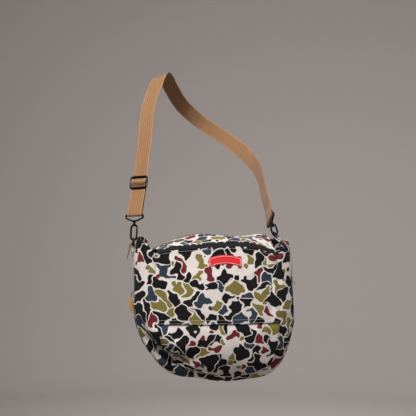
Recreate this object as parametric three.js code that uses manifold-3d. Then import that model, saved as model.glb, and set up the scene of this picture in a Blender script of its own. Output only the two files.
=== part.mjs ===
// Soft canvas shoulder bag with a webbing strap, kept in the form it takes when worn.
// Millimetres, +Z up. The origin is where the strap rests on the shoulder, the front faces -Y.

import * as THREE from 'three';
import { mergeVertices } from 'three/addons/utils/BufferGeometryUtils.js';
import Module from 'manifold-3d';

const wasm = await Module();
wasm.setup();

// Place of the bag under the shoulder point
const BAG_X = 96;
const BAG_Y = -215;

// Cloth and seams
const CLOTH = 1.6;
const GAP = 0.3;
const LAP = 9;
const HEM_V = 0.512;
const EAR_V = 0.17;
const HEM_EASE = 0.05;
const FRONT_ROUND = 2.2;
const GUSSET_ROUND = 2.6;
const BOTTOM_SAG = 8;
const SEAM_STEP = CLOTH + GAP + 0.5;
const LAP_STEP = CLOTH + GAP + 0.8;
const PANEL_LENGTH = 330;
const HEM_LAP_V = LAP / PANEL_LENGTH;

// Front and back panels from the mouth down: where the side seams run, and how deep the bag is.
const PANEL_ROWS = [
  { v: 0.0, left_x: -148, left_z: -453, right_x: 149, right_z: -460, front_y: -51, front_edge_y: -46,
    back_y: 53, back_edge_y: 50, bulge: 52 },
  { v: 0.16, left_x: -148, left_z: -505, right_x: 147, right_z: -509, front_y: -64, front_edge_y: -51,
    back_y: 56, back_edge_y: 52, bulge: 48 },
  { v: 0.33, left_x: -149, left_z: -560, right_x: 150, right_z: -560, front_y: -72, front_edge_y: -55,
    back_y: 58, back_edge_y: 53, bulge: 47 },
  { v: 0.487, left_x: -149, left_z: -612, right_x: 152, right_z: -612, front_y: -77, front_edge_y: -58,
    back_y: 58, back_edge_y: 53, bulge: 47 },
  { v: 0.605, left_x: -141, left_z: -650, right_x: 148, right_z: -650, front_y: -78, front_edge_y: -58,
    back_y: 57, back_edge_y: 52, bulge: 43 },
  { v: 0.71, left_x: -123, left_z: -681, right_x: 142, right_z: -687, front_y: -74, front_edge_y: -55,
    back_y: 55, back_edge_y: 50, bulge: 37 },
  { v: 0.836, left_x: -98, left_z: -714, right_x: 131, right_z: -719, front_y: -62, front_edge_y: -49,
    back_y: 51, back_edge_y: 46, bulge: 29 },
  { v: 0.924, left_x: -74, left_z: -730, right_x: 117, right_z: -735, front_y: -50, front_edge_y: -42,
    back_y: 46, back_edge_y: 41, bulge: 22 },
  { v: 1.0, left_x: -50, left_z: -738, right_x: 93, right_z: -744, front_y: -40, front_edge_y: -35,
    back_y: 38, back_edge_y: 34, bulge: 16 },
];

// The mouth across the bag: lower edge of the zip, height of the zip, ridge behind it.
const MOUTH = [
  { u: 0.0, zip_z: -453, zip_h: 5.5, ridge_z: -446 },
  { u: 0.14, zip_z: -445, zip_h: 7.5, ridge_z: -428 },
  { u: 0.34, zip_z: -441, zip_h: 9.0, ridge_z: -409 },
  { u: 0.5, zip_z: -438, zip_h: 10.0, ridge_z: -409 },
  { u: 0.66, zip_z: -437, zip_h: 10.5, ridge_z: -412 },
  { u: 0.8, zip_z: -441, zip_h: 10.5, ridge_z: -413 },
  { u: 0.92, zip_z: -451, zip_h: 9.5, ridge_z: -409 },
  { u: 1.0, zip_z: -460, zip_h: 6.0, ridge_z: -414 },
];
const SEAT = 0.15;
const ZIP_INSET = 0.5;
const TOP_INSET = 1;
const RIDGE_Y = 52;
const RIDGE_STEP = 1.4;
const ZIP_THICK = 2.2;
const TOP_CROWN = 4;
const TOP_END = 0.014;
const ZIP_END = 0.012;

// The ears, from front to back: how far the gusset's ends rise and lean inward where the strap lifts them.
const EARS = [
  { w: 0, left_rise: 0, left_lean: 0, right_rise: 0, right_lean: 0 },
  { w: 0.1, left_rise: 23, left_lean: 0, right_rise: 24, right_lean: 12 },
  { w: 0.25, left_rise: 36, left_lean: 4, right_rise: 40, right_lean: 36 },
  { w: 0.45, left_rise: 40, left_lean: 13, right_rise: 45, right_lean: 53 },
  { w: 0.7, left_rise: 40, left_lean: 19, right_rise: 35, right_lean: 24 },
  { w: 0.88, left_rise: 29, left_lean: 15, right_rise: 37, right_lean: 10 },
  { w: 1, left_rise: 0, left_lean: 0, right_rise: 40, right_lean: 0 },
];

// Deep sag fold at the lower left, from the side seam into the front.
const SAG_FOLD = [
  { x: -190, z: -598, depth: 4 },
  { x: -174, z: -638, depth: 11 },
  { x: -160, z: -652, depth: 16 },
  { x: -134, z: -676, depth: 18 },
  { x: -104, z: -690, depth: 11 },
  { x: -76, z: -693, depth: 3 },
  { x: -50, z: -692, depth: 0 },
];
const SAG_BELOW = 30;
const SAG_ABOVE = 14;
const SAG_ROLL = 26;
const SAG_ROLL_WIDTH = 14;
const SAG_ROLL_SHARE = 0.4;

// Soft upright folds beside the seams of the front.
const SOFT_FOLDS = [
  { x: -128, z: -540, half_height: 75, half_width: 11, depth: 4 },
  { x: 130, z: -545, half_height: 80, half_width: 10, depth: 4 },
  { x: 62, z: -690, half_height: 40, half_width: 24, depth: 3 },
];

// Label
const LABEL_W = 80;
const LABEL_H = 21;
const LABEL_RISE = 8;
const LABEL_X = 17;
const LABEL_Z = -471;
const LABEL_THICK = 1.2;

// Webbing and black metal fittings
const WEB_W = 38;
const WEB_T = 1.8;
const RING_WIRE = 2.0;
const RING_W = 24;
const RING_H = 17;
const RING_SEAT = 0.35;
const RING_SHOULDER = 0.42;
const RING_SQUARE = 0.8;
const RING_ARCH = 0.9;
const RING_CORNER = 2;
const HOOK_WIRE = 2.5;
const HOOK_HALF = 7;
const HOOK_TOP = 33;
const GATE_LOW = 6;
const GATE_HIGH = 25;
const GATE_WIRE = 2.1;
const GATE_ROOM = 1.7;
const BARREL_R = 4.4;
const EYE_WIRE = 2.2;
const EYE_HALF = 22.2;
const EYE_LOW = 43;
const EYE_BAR = 58;
const EYE_FOOT = 5;
const EYE_CHEEK = 8;
const EYE_CORNER = 3;
const EYE_EASE = 0.8;
const EYE_DIP = 0.4;
const TAB_W = 19;
const TAB_T = 1.6;
const TAB_LONG = 27;
const TAB_LIFT = 1.5;
const SLIDER_H = 34;
const SLIDER_T = 3.4;
const SLIDER_BAR = 4.6;
const SLIDER_MID = 2.0;
const SLIDER_CUT = 3;
const SLIDER_WINDOW_W = 39.6;
const SLIDER_OUT_W = 48;
const SIDES = 8;

// Leather laces and the pull
const LACE_R = 1.3;
const CORD_R = 0.9;
const PULL_W = 8;
const PULL_H = 33;
const PULL_T = 2.4;

const COLOURS = {
  canvas: 0xd8d0c8, zip: 0x1c1b1d, label: 0xb8242c, webbing: 0xa06f45, metal: 0x18181a,
  lace: 0x8a4f2c, tan_leather: 0xc08a3e, cord: 0x2a2422,
};

const group = new THREE.Group();
const bag = new THREE.Group();
bag.position.set(BAG_X, BAG_Y, 0);
group.add(bag);

function vec(x, y, z) {
  return new THREE.Vector3(x, y, z);
}

function add(parent, name, geometry, color, roughness, metalness) {
  geometry.computeVertexNormals();
  const mesh = new THREE.Mesh(geometry, new THREE.MeshStandardMaterial({ color, roughness, metalness }));
  mesh.name = name;
  parent.add(mesh);
  return mesh;
}

// Smooth value of one column of a table at key t (cubic through the rows, ends held).
function column(table, key, name, t) {
  const last = table.length - 1;
  let i = 0;
  while (i < last - 1 && t > table[i + 1][key]) i += 1;
  const at = (k) => table[Math.min(last, Math.max(0, k))];
  const span = at(i + 1)[key] - at(i)[key];
  const f = Math.min(1, Math.max(0, (t - at(i)[key]) / span));
  const slope = (k) => {
    const run = at(k + 1)[key] - at(k - 1)[key];
    return (at(k + 1)[name] - at(k - 1)[name]) / run * span;
  };
  const f2 = f * f;
  const f3 = f2 * f;
  return (2 * f3 - 3 * f2 + 1) * at(i)[name] + (f3 - 2 * f2 + f) * slope(i)
    + (3 * f2 - 2 * f3) * at(i + 1)[name] + (f3 - f2) * slope(i + 1);
}

function volume(position, index) {
  const a = new THREE.Vector3();
  const b = new THREE.Vector3();
  const c = new THREE.Vector3();
  let sum = 0;
  for (let i = 0; i < index.length; i += 3) {
    a.fromArray(position, 3 * index[i]);
    b.fromArray(position, 3 * index[i + 1]);
    c.fromArray(position, 3 * index[i + 2]);
    sum += a.dot(b.cross(c));
  }
  return sum / 6;
}

// Closed body from points and triangles, turned so that its faces point out.
function body(points, index) {
  const position = points.flatMap((p) => [p.x, p.y, p.z]);
  if (volume(position, index) < 0) index.reverse();
  const geometry = new THREE.BufferGeometry();
  geometry.setAttribute('position', new THREE.Float32BufferAttribute(position, 3));
  geometry.setIndex(index);
  return geometry;
}

// A sheet with thickness: two grids of (nu + 1) x (nv + 1) points and a rim.
function sheet(outer, inner, nu, nv) {
  const points = [];
  for (const side of [outer, inner]) {
    for (let j = 0; j <= nv; j += 1) {
      for (let i = 0; i <= nu; i += 1) points.push(side(i / nu, j / nv));
    }
  }
  const row = nu + 1;
  const under = row * (nv + 1);
  const index = [];
  const quad = (a, b, c, d) => index.push(a, b, c, a, c, d);
  for (let j = 0; j < nv; j += 1) {
    for (let i = 0; i < nu; i += 1) {
      const k = j * row + i;
      quad(k, k + 1, k + row + 1, k + row);
      quad(under + k, under + k + row, under + k + row + 1, under + k + 1);
    }
  }
  for (let i = 0; i < nu; i += 1) {
    const k = nv * row + i;
    quad(i, under + i, under + i + 1, i + 1);
    quad(k, k + 1, under + k + 1, under + k);
  }
  for (let j = 0; j < nv; j += 1) {
    const k = j * row;
    const m = k + nu;
    quad(k, k + row, under + k + row, under + k);
    quad(m, under + m, under + m + row, m + row);
  }
  return body(points, index);
}

// The same sheet given by one face and a thickness to the inside along its normal.
function skin(face, nu, nv, thick, outward) {
  const step = 1e-3;
  const inner = (u, v) => {
    const du = face(Math.min(1, u + step), v).sub(face(Math.max(0, u - step), v));
    const dv = face(u, Math.min(1, v + step)).sub(face(u, Math.max(0, v - step)));
    const normal = du.cross(dv).normalize();
    const point = face(u, v);
    if (normal.dot(outward(u, v, point)) < 0) normal.negate();
    return point.addScaledVector(normal, -thick);
  };
  return sheet(face, inner, nu, nv);
}

// A round bar along a closed flat loop of points, with the loop's plane normal given.
function ringTube(points, normal, radius) {
  const n = points.length;
  const out = [];
  const index = [];
  for (let i = 0; i < n; i += 1) {
    const tangent = points[(i + 1) % n].clone().sub(points[(i + n - 1) % n]).normalize();
    const side = tangent.clone().cross(normal).normalize();
    for (let k = 0; k < SIDES; k += 1) {
      const turn = 2 * Math.PI * (k + 0.5) / SIDES;
      out.push(points[i].clone().addScaledVector(side, radius * Math.cos(turn))
        .addScaledVector(normal, radius * Math.sin(turn)));
    }
  }
  for (let i = 0; i < n; i += 1) {
    for (let k = 0; k < SIDES; k += 1) {
      const a = i * SIDES + k;
      const b = i * SIDES + (k + 1) % SIDES;
      const c = ((i + 1) % n) * SIDES + (k + 1) % SIDES;
      const d = ((i + 1) % n) * SIDES + k;
      index.push(a, b, c, a, c, d);
    }
  }
  return body(out, index);
}

// A round bar along an open curve.
function rod(points, radius, steps) {
  const shape = new THREE.Shape();
  for (let k = 0; k < SIDES; k += 1) {
    const turn = 2 * Math.PI * (k + 0.5) / SIDES;
    const move = k === 0 ? 'moveTo' : 'lineTo';
    shape[move](radius * Math.cos(turn), radius * Math.sin(turn));
  }
  shape.closePath();
  const path = new THREE.CatmullRomCurve3(points, false, 'centripetal');
  const options = { steps, extrudePath: path, bevelEnabled: false, curveSegments: 1 };
  return new THREE.ExtrudeGeometry(shape, options);
}

function merged(geometry) {
  const plain = geometry.clone();
  plain.deleteAttribute('normal');
  plain.deleteAttribute('uv');
  return mergeVertices(plain, 1e-4);
}

function solid(geometry) {
  const plain = merged(geometry);
  return new wasm.Manifold(new wasm.Mesh({
    numProp: 3,
    vertProperties: new Float32Array(plain.attributes.position.array),
    triVerts: new Uint32Array(plain.index.array),
  }));
}

function joined(geometries) {
  const mesh = geometries.map(solid).reduce((a, b) => a.add(b)).getMesh();
  const geometry = new THREE.BufferGeometry();
  geometry.setAttribute('position', new THREE.Float32BufferAttribute(Array.from(mesh.vertProperties), 3));
  geometry.setIndex(Array.from(mesh.triVerts));
  return geometry;
}

// Distance below (+) or above (-) the sag fold, with the fold's depth there.
function sagAt(x, z) {
  let best = { distance: Infinity, below: 1, depth: 0 };
  for (let i = 0; i < SAG_FOLD.length - 1; i += 1) {
    const a = SAG_FOLD[i];
    const b = SAG_FOLD[i + 1];
    const run = (b.x - a.x) ** 2 + (b.z - a.z) ** 2;
    const f = Math.min(1, Math.max(0, ((x - a.x) * (b.x - a.x) + (z - a.z) * (b.z - a.z)) / run));
    const dx = x - a.x - f * (b.x - a.x);
    const dz = z - a.z - f * (b.z - a.z);
    const distance = Math.hypot(dx, dz);
    if (distance < best.distance) {
      const cross = (b.x - a.x) * dz - (b.z - a.z) * dx;
      best = { distance, below: cross < 0 ? 1 : -1, depth: a.depth + f * (b.depth - a.depth) };
    }
  }
  return best;
}

// How far the cloth is pushed back (+Y) by its folds.
function foldDepth(x, z) {
  const sag = sagAt(x, z);
  const reach = sag.below < 0 ? SAG_ABOVE : SAG_BELOW;
  let push = sag.depth * Math.exp(-((sag.distance / reach) ** 2));
  if (sag.below < 0) {
    push -= SAG_ROLL_SHARE * sag.depth * Math.exp(-(((sag.distance - SAG_ROLL) / SAG_ROLL_WIDTH) ** 2));
  }
  for (const fold of SOFT_FOLDS) {
    const across = (x - fold.x) / fold.half_width;
    const along = (z - fold.z) / fold.half_height;
    push += fold.depth * Math.exp(-across * across - along * along);
  }
  return push;
}

function row(v) {
  const out = {};
  for (const name of Object.keys(PANEL_ROWS[0])) {
    if (name !== 'v') out[name] = column(PANEL_ROWS, 'v', name, v);
  }
  return out;
}

function mouth(u) {
  return {
    zip_z: column(MOUTH, 'u', 'zip_z', u),
    zip_h: column(MOUTH, 'u', 'zip_h', u),
    ridge_z: column(MOUTH, 'u', 'ridge_z', u),
  };
}

// Crown of a panel across its width: 1 in the middle, 0 at its side seams.
function crown(u) {
  return 1 - Math.abs(2 * u - 1) ** FRONT_ROUND;
}

function seamXZ(u, v, topZ) {
  const r = row(v);
  const x = THREE.MathUtils.lerp(r.left_x, r.right_x, u);
  const straight = THREE.MathUtils.lerp(r.left_z, r.right_z, u);
  const first = row(0);
  const arch = topZ - THREE.MathUtils.lerp(first.left_z, first.right_z, u);
  const fade = Math.max(0, 1 - v / HEM_V) ** 2;
  const sag = BOTTOM_SAG * Math.sin(Math.PI * u) * v ** 4;
  return { r, x, z: straight + arch * fade - sag };
}

function front(u, v) {
  const { r, x, z } = seamXZ(u, v, mouth(u).zip_z);
  const y = r.front_edge_y + (r.front_y - r.front_edge_y) * crown(u);
  return vec(x, y + foldDepth(x, z), z);
}

function back(u, v) {
  const topZ = mouth(u).ridge_z - CLOTH - RIDGE_STEP;
  const { r, x, z } = seamXZ(u, v, topZ);
  return vec(x, r.back_edge_y + (r.back_y - r.back_edge_y) * crown(u), z);
}

const forward = () => vec(0, -1, 0);
const backward = () => vec(0, 1, 0);

// The front in two layers: the upper one laps over the lower one at the hem.
const frontUpper = (u, t) => front(u, t * HEM_V);
function lapUnder(v) {
  const rise = THREE.MathUtils.smoothstep(v, HEM_V - HEM_LAP_V - HEM_EASE, HEM_V - HEM_LAP_V);
  return rise * (1 - THREE.MathUtils.smoothstep(v, HEM_V + HEM_LAP_V / 3, HEM_V + HEM_EASE));
}
function frontLower(u, t) {
  const v = THREE.MathUtils.lerp(HEM_V - HEM_LAP_V, 1, t);
  const point = front(u, v);
  point.y += LAP_STEP * lapUnder(v);
  return point;
}
add(bag, 'front_upper_panel', skin(frontUpper, 26, 9, CLOTH, forward), COLOURS.canvas, 0.9, 0);
add(bag, 'front_lower_panel', skin(frontLower, 26, 12, CLOTH, forward), COLOURS.canvas, 0.9, 0);
add(bag, 'back_panel', skin(back, 20, 14, CLOTH, backward), COLOURS.canvas, 0.9, 0);

// The gusset runs down the left side, under the bottom and up the right side.
const SIDE_SHARE = 0.4;
function gussetPath(s) {
  if (s < SIDE_SHARE) return { u: 0, v: s / SIDE_SHARE };
  if (s > 1 - SIDE_SHARE) return { u: 1, v: (1 - s) / SIDE_SHARE };
  return { u: (s - SIDE_SHARE) / (1 - 2 * SIDE_SHARE), v: 1 };
}

function seamMiddle(s) {
  const { u, v } = gussetPath(Math.min(1, Math.max(0, s)));
  const lower = seamXZ(u, v, row(0).left_z + u * (row(0).right_z - row(0).left_z));
  return { x: lower.x, z: lower.z, r: lower.r, u, v };
}

// Outward direction of the gusset in the XZ plane, averaged along its path.
function gussetOut(s) {
  const reach = 0.02;
  const a = seamMiddle(s - reach);
  const b = seamMiddle(s + reach);
  return vec(b.z - a.z, 0, a.x - b.x).normalize();
}

function gussetRound(w) {
  return 1 - Math.abs(2 * w - 1) ** GUSSET_ROUND;
}

function gusset(s, w) {
  const mid = seamMiddle(s);
  const side = mid.u < 0.5 ? 'left' : 'right';
  const inward = mid.u < 0.5 ? 1 : -1;
  const rounded = crown(mid.u);
  const frontY = THREE.MathUtils.lerp(mid.r.front_edge_y, mid.r.front_y, rounded);
  const backY = THREE.MathUtils.lerp(mid.r.back_edge_y, mid.r.back_y, rounded);
  const y0 = frontY + SEAM_STEP + LAP_STEP * lapUnder(mid.v);
  const y1 = backY - SEAM_STEP;
  const out = gussetOut(s);
  const point = vec(mid.x, THREE.MathUtils.lerp(y0, y1, w), mid.z);
  point.addScaledVector(out, mid.r.bulge * gussetRound(w));
  point.y += foldDepth(point.x, point.z) * (1 - w) ** 2;
  const lift = Math.max(0, 1 - mid.v / EAR_V) ** 2;
  if (mid.u === 0 || mid.u === 1) {
    point.z += lift * column(EARS, 'w', `${side}_rise`, w);
    point.x += lift * lift * inward * column(EARS, 'w', `${side}_lean`, w);
  }
  return point;
}
const gussetOutward = (s, w) => {
  const lean = 2 * w - 1;
  return gussetOut(s).multiplyScalar(1 - lean * lean).add(vec(0, lean, 0));
};
add(bag, 'gusset', skin(gusset, 48, 10, CLOTH, gussetOutward), COLOURS.canvas, 0.9, 0);

// Zip along the mouth and the cloth strip behind it, up to the ridge.
function zipFace(a, t) {
  const u = THREE.MathUtils.lerp(ZIP_END, 1 - ZIP_END, a);
  const m = mouth(u);
  const edge = front(u, 0);
  return vec(edge.x, edge.y + ZIP_INSET, m.zip_z + GAP + SEAT + t * (m.zip_h - GAP));
}
const zipBack = (u, t) => zipFace(u, t).add(vec(0, ZIP_THICK, 0));
add(bag, 'zip_band', sheet(zipFace, zipBack, 26, 1), COLOURS.zip, 0.7, 0);

function topFace(a, q) {
  const u = THREE.MathUtils.lerp(TOP_END, 1 - TOP_END, a);
  const m = mouth(u);
  const edge = front(u, 0);
  const z0 = m.zip_z + m.zip_h + GAP + SEAT + CLOTH;
  const z = THREE.MathUtils.lerp(z0, m.ridge_z, q) + TOP_CROWN * Math.sin(Math.PI * q);
  return vec(edge.x, THREE.MathUtils.lerp(edge.y + TOP_INSET, RIDGE_Y, q), z);
}
const topUnder = (a, q) => topFace(a, q).add(vec(0, 0, -CLOTH));
add(bag, 'top_panel', sheet(topFace, topUnder, 26, 6), COLOURS.canvas, 0.9, 0);

// Label, an arched patch lying on the front under the zip.
function frontAt(x, z) {
  let low = 0;
  let high = HEM_V;
  let u = 0.5;
  for (let i = 0; i < 40; i += 1) {
    const v = (low + high) / 2;
    const r = row(v);
    u = (x - r.left_x) / (r.right_x - r.left_x);
    if (front(u, v).z > z) low = v;
    else high = v;
  }
  return front(u, low);
}
function labelAt(a, b, lift) {
  const x = LABEL_X + LABEL_W * (a - 0.5);
  const z = LABEL_Z + LABEL_RISE * (0.5 - (2 * a - 1) ** 2) + LABEL_H * (0.5 - b);
  const point = frontAt(x, z);
  point.y -= lift;
  return point;
}
const LABEL_SEAT = GAP + SEAT;
const labelFace = (a, b) => labelAt(a, b, LABEL_SEAT + LABEL_THICK);
const labelBack = (a, b) => labelAt(a, b, LABEL_SEAT);
add(bag, 'label_patch', sheet(labelFace, labelBack, 12, 3), COLOURS.label, 0.8, 0);

// Ring, tab and hook on each ear. The tab lies on the gusset, the ring leans toward the pull.
const FITTINGS = {
  left: { s: 0.012, w: 0.56, pull: vec(0.07, 0.2, 0.977), eye: vec(0.86, -0.5, 0.06) },
  right: { s: 0.998, w: 0.45, pull: vec(-0.05, 0.78, 0.62), eye: vec(-0.19, 0.62, -0.76) },
};

const SURFACE_STEP = 0.01;
function gussetTangents(s, w) {
  const along = gusset(s + SURFACE_STEP, w).sub(gusset(s - SURFACE_STEP, w)).divideScalar(2 * SURFACE_STEP);
  const across = gusset(s, w + SURFACE_STEP).sub(gusset(s, w - SURFACE_STEP)).divideScalar(2 * SURFACE_STEP);
  const out = across.clone().cross(along).normalize();
  if (out.dot(gussetOutward(s, w)) < 0) out.negate();
  return { along, across, out };
}

function fittingFrame(side) {
  const f = FITTINGS[side];
  const base = gusset(f.s, f.w);
  const pull = f.pull.clone().normalize();
  const { along, across, out } = gussetTangents(f.s, f.w);
  const up = pull.clone().addScaledVector(out, -pull.dot(out)).normalize();
  const bar = up.clone().cross(out).normalize();
  // steps in s and w that move one millimetre down the cloth, against the pull
  const ss = along.dot(along);
  const sw = along.dot(across);
  const ww = across.dot(across);
  const det = ss * ww - sw * sw;
  const ds = -(ww * along.dot(up) - sw * across.dot(up)) / det;
  const dw = -(ss * across.dot(up) - sw * along.dot(up)) / det;
  const cloth = (t, lift) => {
    const s = f.s + ds * t;
    const w = f.w + dw * t;
    return gusset(s, w).addScaledVector(gussetTangents(s, w).out, lift);
  };
  return { base, bar, up, out, pull, cloth, eye: f.eye.clone() };
}

// Ribbon of webbing or cloth: stations with a middle point and a width direction.
function ribbon(stations, width, thick) {
  const n = stations.length - 1;
  const frame = stations.map((st, i) => {
    const next = stations[Math.min(n, i + 1)].p;
    const prev = stations[Math.max(0, i - 1)].p;
    const along = next.clone().sub(prev).normalize();
    const side = st.e.clone().addScaledVector(along, -st.e.dot(along)).normalize();
    return { p: st.p, side, normal: along.clone().cross(side).normalize() };
  });
  const at = (u, t, sign) => {
    const f = frame[Math.round(t * n)];
    return f.p.clone().addScaledVector(f.side, (u - 0.5) * width)
      .addScaledVector(f.normal, sign * thick / 2);
  };
  return sheet((u, t) => at(u, t, 1), (u, t) => at(u, t, -1), 1, n);
}

// Points on a flat arc in the plane of two directions.
function arc(center, a, b, radius, from, to, steps) {
  const out = [];
  for (let i = 0; i <= steps; i += 1) {
    const turn = THREE.MathUtils.degToRad(from + (to - from) * i / steps);
    out.push(center.clone().addScaledVector(a, radius * Math.cos(turn))
      .addScaledVector(b, radius * Math.sin(turn)));
  }
  return out;
}

function basis(x, y, z, origin) {
  return new THREE.Matrix4().makeBasis(x, y, z).setPosition(origin);
}

// Hook in its own frame: Z up its axis, X across it, ring wire along Y through the origin.
const BOW_LOW = -(RING_WIRE + RING_SEAT + HOOK_WIRE);
const HOOK_BOW = [
  { x: HOOK_HALF, z: GATE_LOW - GAP }, { x: HOOK_HALF * 0.93, z: 1.5 }, { x: HOOK_HALF * 0.62, z: -2.6 },
  { x: 0, z: BOW_LOW }, { x: -HOOK_HALF * 0.62, z: -2.6 }, { x: -HOOK_HALF * 0.93, z: 1.5 },
  { x: -HOOK_HALF, z: 8 }, { x: -HOOK_HALF, z: 23 }, { x: -HOOK_HALF * 0.85, z: 28 },
  { x: -HOOK_HALF * 0.4, z: HOOK_TOP - 1 }, { x: HOOK_HALF * 0.4, z: HOOK_TOP - 1 },
  { x: HOOK_HALF * 0.85, z: 29.5 }, { x: HOOK_HALF, z: GATE_HIGH + GATE_ROOM },
];
const BARREL = [
  { r: 0, z: HOOK_TOP - 3 }, { r: BARREL_R, z: HOOK_TOP - 3 }, { r: BARREL_R, z: HOOK_TOP + 3 },
  { r: BARREL_R * 0.65, z: HOOK_TOP + 4 }, { r: BARREL_R * 0.65, z: HOOK_TOP + 6 },
  { r: BARREL_R * 1.05, z: HOOK_TOP + 7 }, { r: BARREL_R * 1.05, z: EYE_LOW + 1 }, { r: 0, z: EYE_LOW + 1 },
];

function hookBody(eyeAngle) {
  const bow = rod(HOOK_BOW.map((p) => vec(p.x, 0, p.z)), HOOK_WIRE, 34);
  const barrel = new THREE.LatheGeometry(BARREL.map((p) => new THREE.Vector2(p.r, p.z)), 12);
  barrel.rotateX(Math.PI / 2);
  const eye = ringTube(eyeLoop(), vec(0, 1, 0), EYE_WIRE);
  eye.rotateZ(eyeAngle);
  return joined([bow, barrel, eye]);
}

// Eye of the hook: a straight bar for the webbing and two legs that close on the swivel.
function eyeLoop() {
  const points = [];
  const push = (x, z) => points.push(vec(x, 0, z));
  push(-EYE_FOOT, EYE_LOW);
  push(0, EYE_LOW - EYE_DIP);
  push(EYE_FOOT, EYE_LOW);
  push(EYE_HALF - EYE_EASE, EYE_BAR - EYE_CHEEK);
  push(EYE_HALF, EYE_BAR - EYE_CORNER);
  push(EYE_HALF - EYE_EASE, EYE_BAR - EYE_EASE);
  push(EYE_HALF - EYE_CORNER, EYE_BAR);
  push(0, EYE_BAR);
  push(-EYE_HALF + EYE_CORNER, EYE_BAR);
  push(-EYE_HALF + EYE_EASE, EYE_BAR - EYE_EASE);
  push(-EYE_HALF, EYE_BAR - EYE_CORNER);
  push(-EYE_HALF + EYE_EASE, EYE_BAR - EYE_CHEEK);
  return points;
}

// D ring: an arch over a straight bar with small rounded corners.
function ringLoop() {
  const half = RING_W / 2;
  const foot = RING_H * RING_SHOULDER;
  const steps = 10;
  const points = [];
  for (let i = 0; i <= steps; i += 1) {
    const turn = Math.PI * i / steps;
    const flat = Math.sign(Math.cos(turn)) * Math.abs(Math.cos(turn)) ** RING_SQUARE;
    points.push(vec(half * flat, 0, foot + (RING_H - foot) * Math.sin(turn) ** RING_ARCH));
  }
  points.push(vec(-half, 0, RING_CORNER));
  points.push(vec(-half + RING_CORNER, 0, 0));
  points.push(vec(0, 0, 0));
  points.push(vec(half - RING_CORNER, 0, 0));
  points.push(vec(half, 0, RING_CORNER));
  return points;
}

const eyes = {};
const frames = {};
for (const side of ['left', 'right']) {
  const f = fittingFrame(side);
  const tabHold = RING_WIRE + GAP + TAB_T / 2;
  const ply = TAB_LIFT + TAB_T / 2;
  const center = f.base.clone().addScaledVector(f.out, ply + tabHold);
  const stations = [];
  const station = (p) => stations.push({ p, e: f.bar });
  const steps = [TAB_LONG, TAB_LONG * 0.75, TAB_LONG * 0.5, TAB_LONG * 0.28];
  for (const t of steps) station(f.cloth(t, ply));
  for (const p of arc(center, f.out, f.up, tabHold, 180, 0, 8)) station(p);
  station(center.clone().addScaledVector(f.out, tabHold * 0.8).addScaledVector(f.up, -TAB_LONG * 0.12));
  for (const t of steps.reverse()) station(f.cloth(t, ply + TAB_T + GAP));
  add(bag, `${side}_tab`, ribbon(stations, TAB_W, TAB_T), COLOURS.canvas, 0.9, 0);

  const ringUp = f.pull.clone().addScaledVector(f.bar, -f.pull.dot(f.bar)).normalize();
  const ringFace = f.bar.clone().cross(ringUp).normalize();
  const ring = ringTube(ringLoop(), vec(0, 1, 0), RING_WIRE);
  ring.applyMatrix4(basis(f.bar, ringFace.clone().negate(), ringUp, center));
  add(bag, `${side}_ring`, ring, COLOURS.metal, 0.4, 0.9);

  const wire = center.clone().addScaledVector(ringUp, RING_H);
  const across = f.bar.clone().addScaledVector(f.pull, -f.bar.dot(f.pull)).normalize();
  const lateral = across.clone().cross(f.pull).normalize();
  if (lateral.x < 0) {
    lateral.negate();
    across.negate();
  }
  const place = basis(lateral, across, f.pull, wire);
  const eyeDir = f.eye.clone().addScaledVector(f.pull, -f.eye.dot(f.pull)).normalize();
  const eyeAngle = Math.atan2(eyeDir.dot(across), eyeDir.dot(lateral));
  const hook = hookBody(eyeAngle);
  hook.applyMatrix4(place);
  add(bag, `${side}_hook`, hook, COLOURS.metal, 0.4, 0.9);
  const gateZ = [GATE_LOW + GAP, (GATE_LOW + GATE_HIGH) / 2, GATE_HIGH];
  const gate = rod(gateZ.map((z) => vec(HOOK_HALF, 0, z)), GATE_WIRE, 4);
  gate.applyMatrix4(place);
  add(bag, `${side}_gate`, gate, COLOURS.metal, 0.4, 0.9);
  frames[side] = { ...f, center };
  eyes[side] = {
    bar: wire.clone().addScaledVector(f.pull, EYE_BAR).add(bag.position),
    along: eyeDir, axis: f.pull,
    hinge: vec(HOOK_HALF, 0, GATE_HIGH).applyMatrix4(place).add(bag.position),
    across: across.clone(),
  };
}

// Leather lace hung through the left ring: two strands, the front one with a tail.
const LACE_OVER = RING_WIRE + GAP + TAB_T + LACE_R + 0.35;
const LACE_FRONT = [
  { up: 5.5, out: -1, bar: -5.5 }, { up: 5.3, out: 3.5, bar: -5.5 },
  { up: 1.5, out: LACE_OVER + 2.4, bar: -5.2 }, { up: -6, out: LACE_OVER + 2.6, bar: -3.9 },
  { up: -15, out: LACE_OVER + 0.7, bar: -1.8 }, { up: -25, out: LACE_OVER + 0.5, bar: -1.6 },
  { up: -35, out: LACE_OVER + 0.9, bar: -2.2 },
];
const LACE_BACK = [
  { up: 5.5, out: -1, bar: 5.5 }, { up: 5.3, out: 3, bar: 5.5 }, { up: 1.5, out: LACE_OVER, bar: 5.2 },
  { up: -8, out: LACE_OVER + 0.4, bar: 3.4 }, { up: -19, out: LACE_OVER + 0.4, bar: 1.7 },
  { up: -26, out: LACE_OVER + 0.5, bar: 2.2 },
];
function laceRoute(table) {
  const f = frames.left;
  return table.map((p) => f.center.clone().addScaledVector(f.up, p.up).addScaledVector(f.out, p.out)
    .addScaledVector(f.bar, p.bar));
}
add(bag, 'lace_front', rod(laceRoute(LACE_FRONT), LACE_R, 12), COLOURS.lace, 0.7, 0);
add(bag, 'lace_back', rod(laceRoute(LACE_BACK), LACE_R, 8), COLOURS.lace, 0.7, 0);

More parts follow.
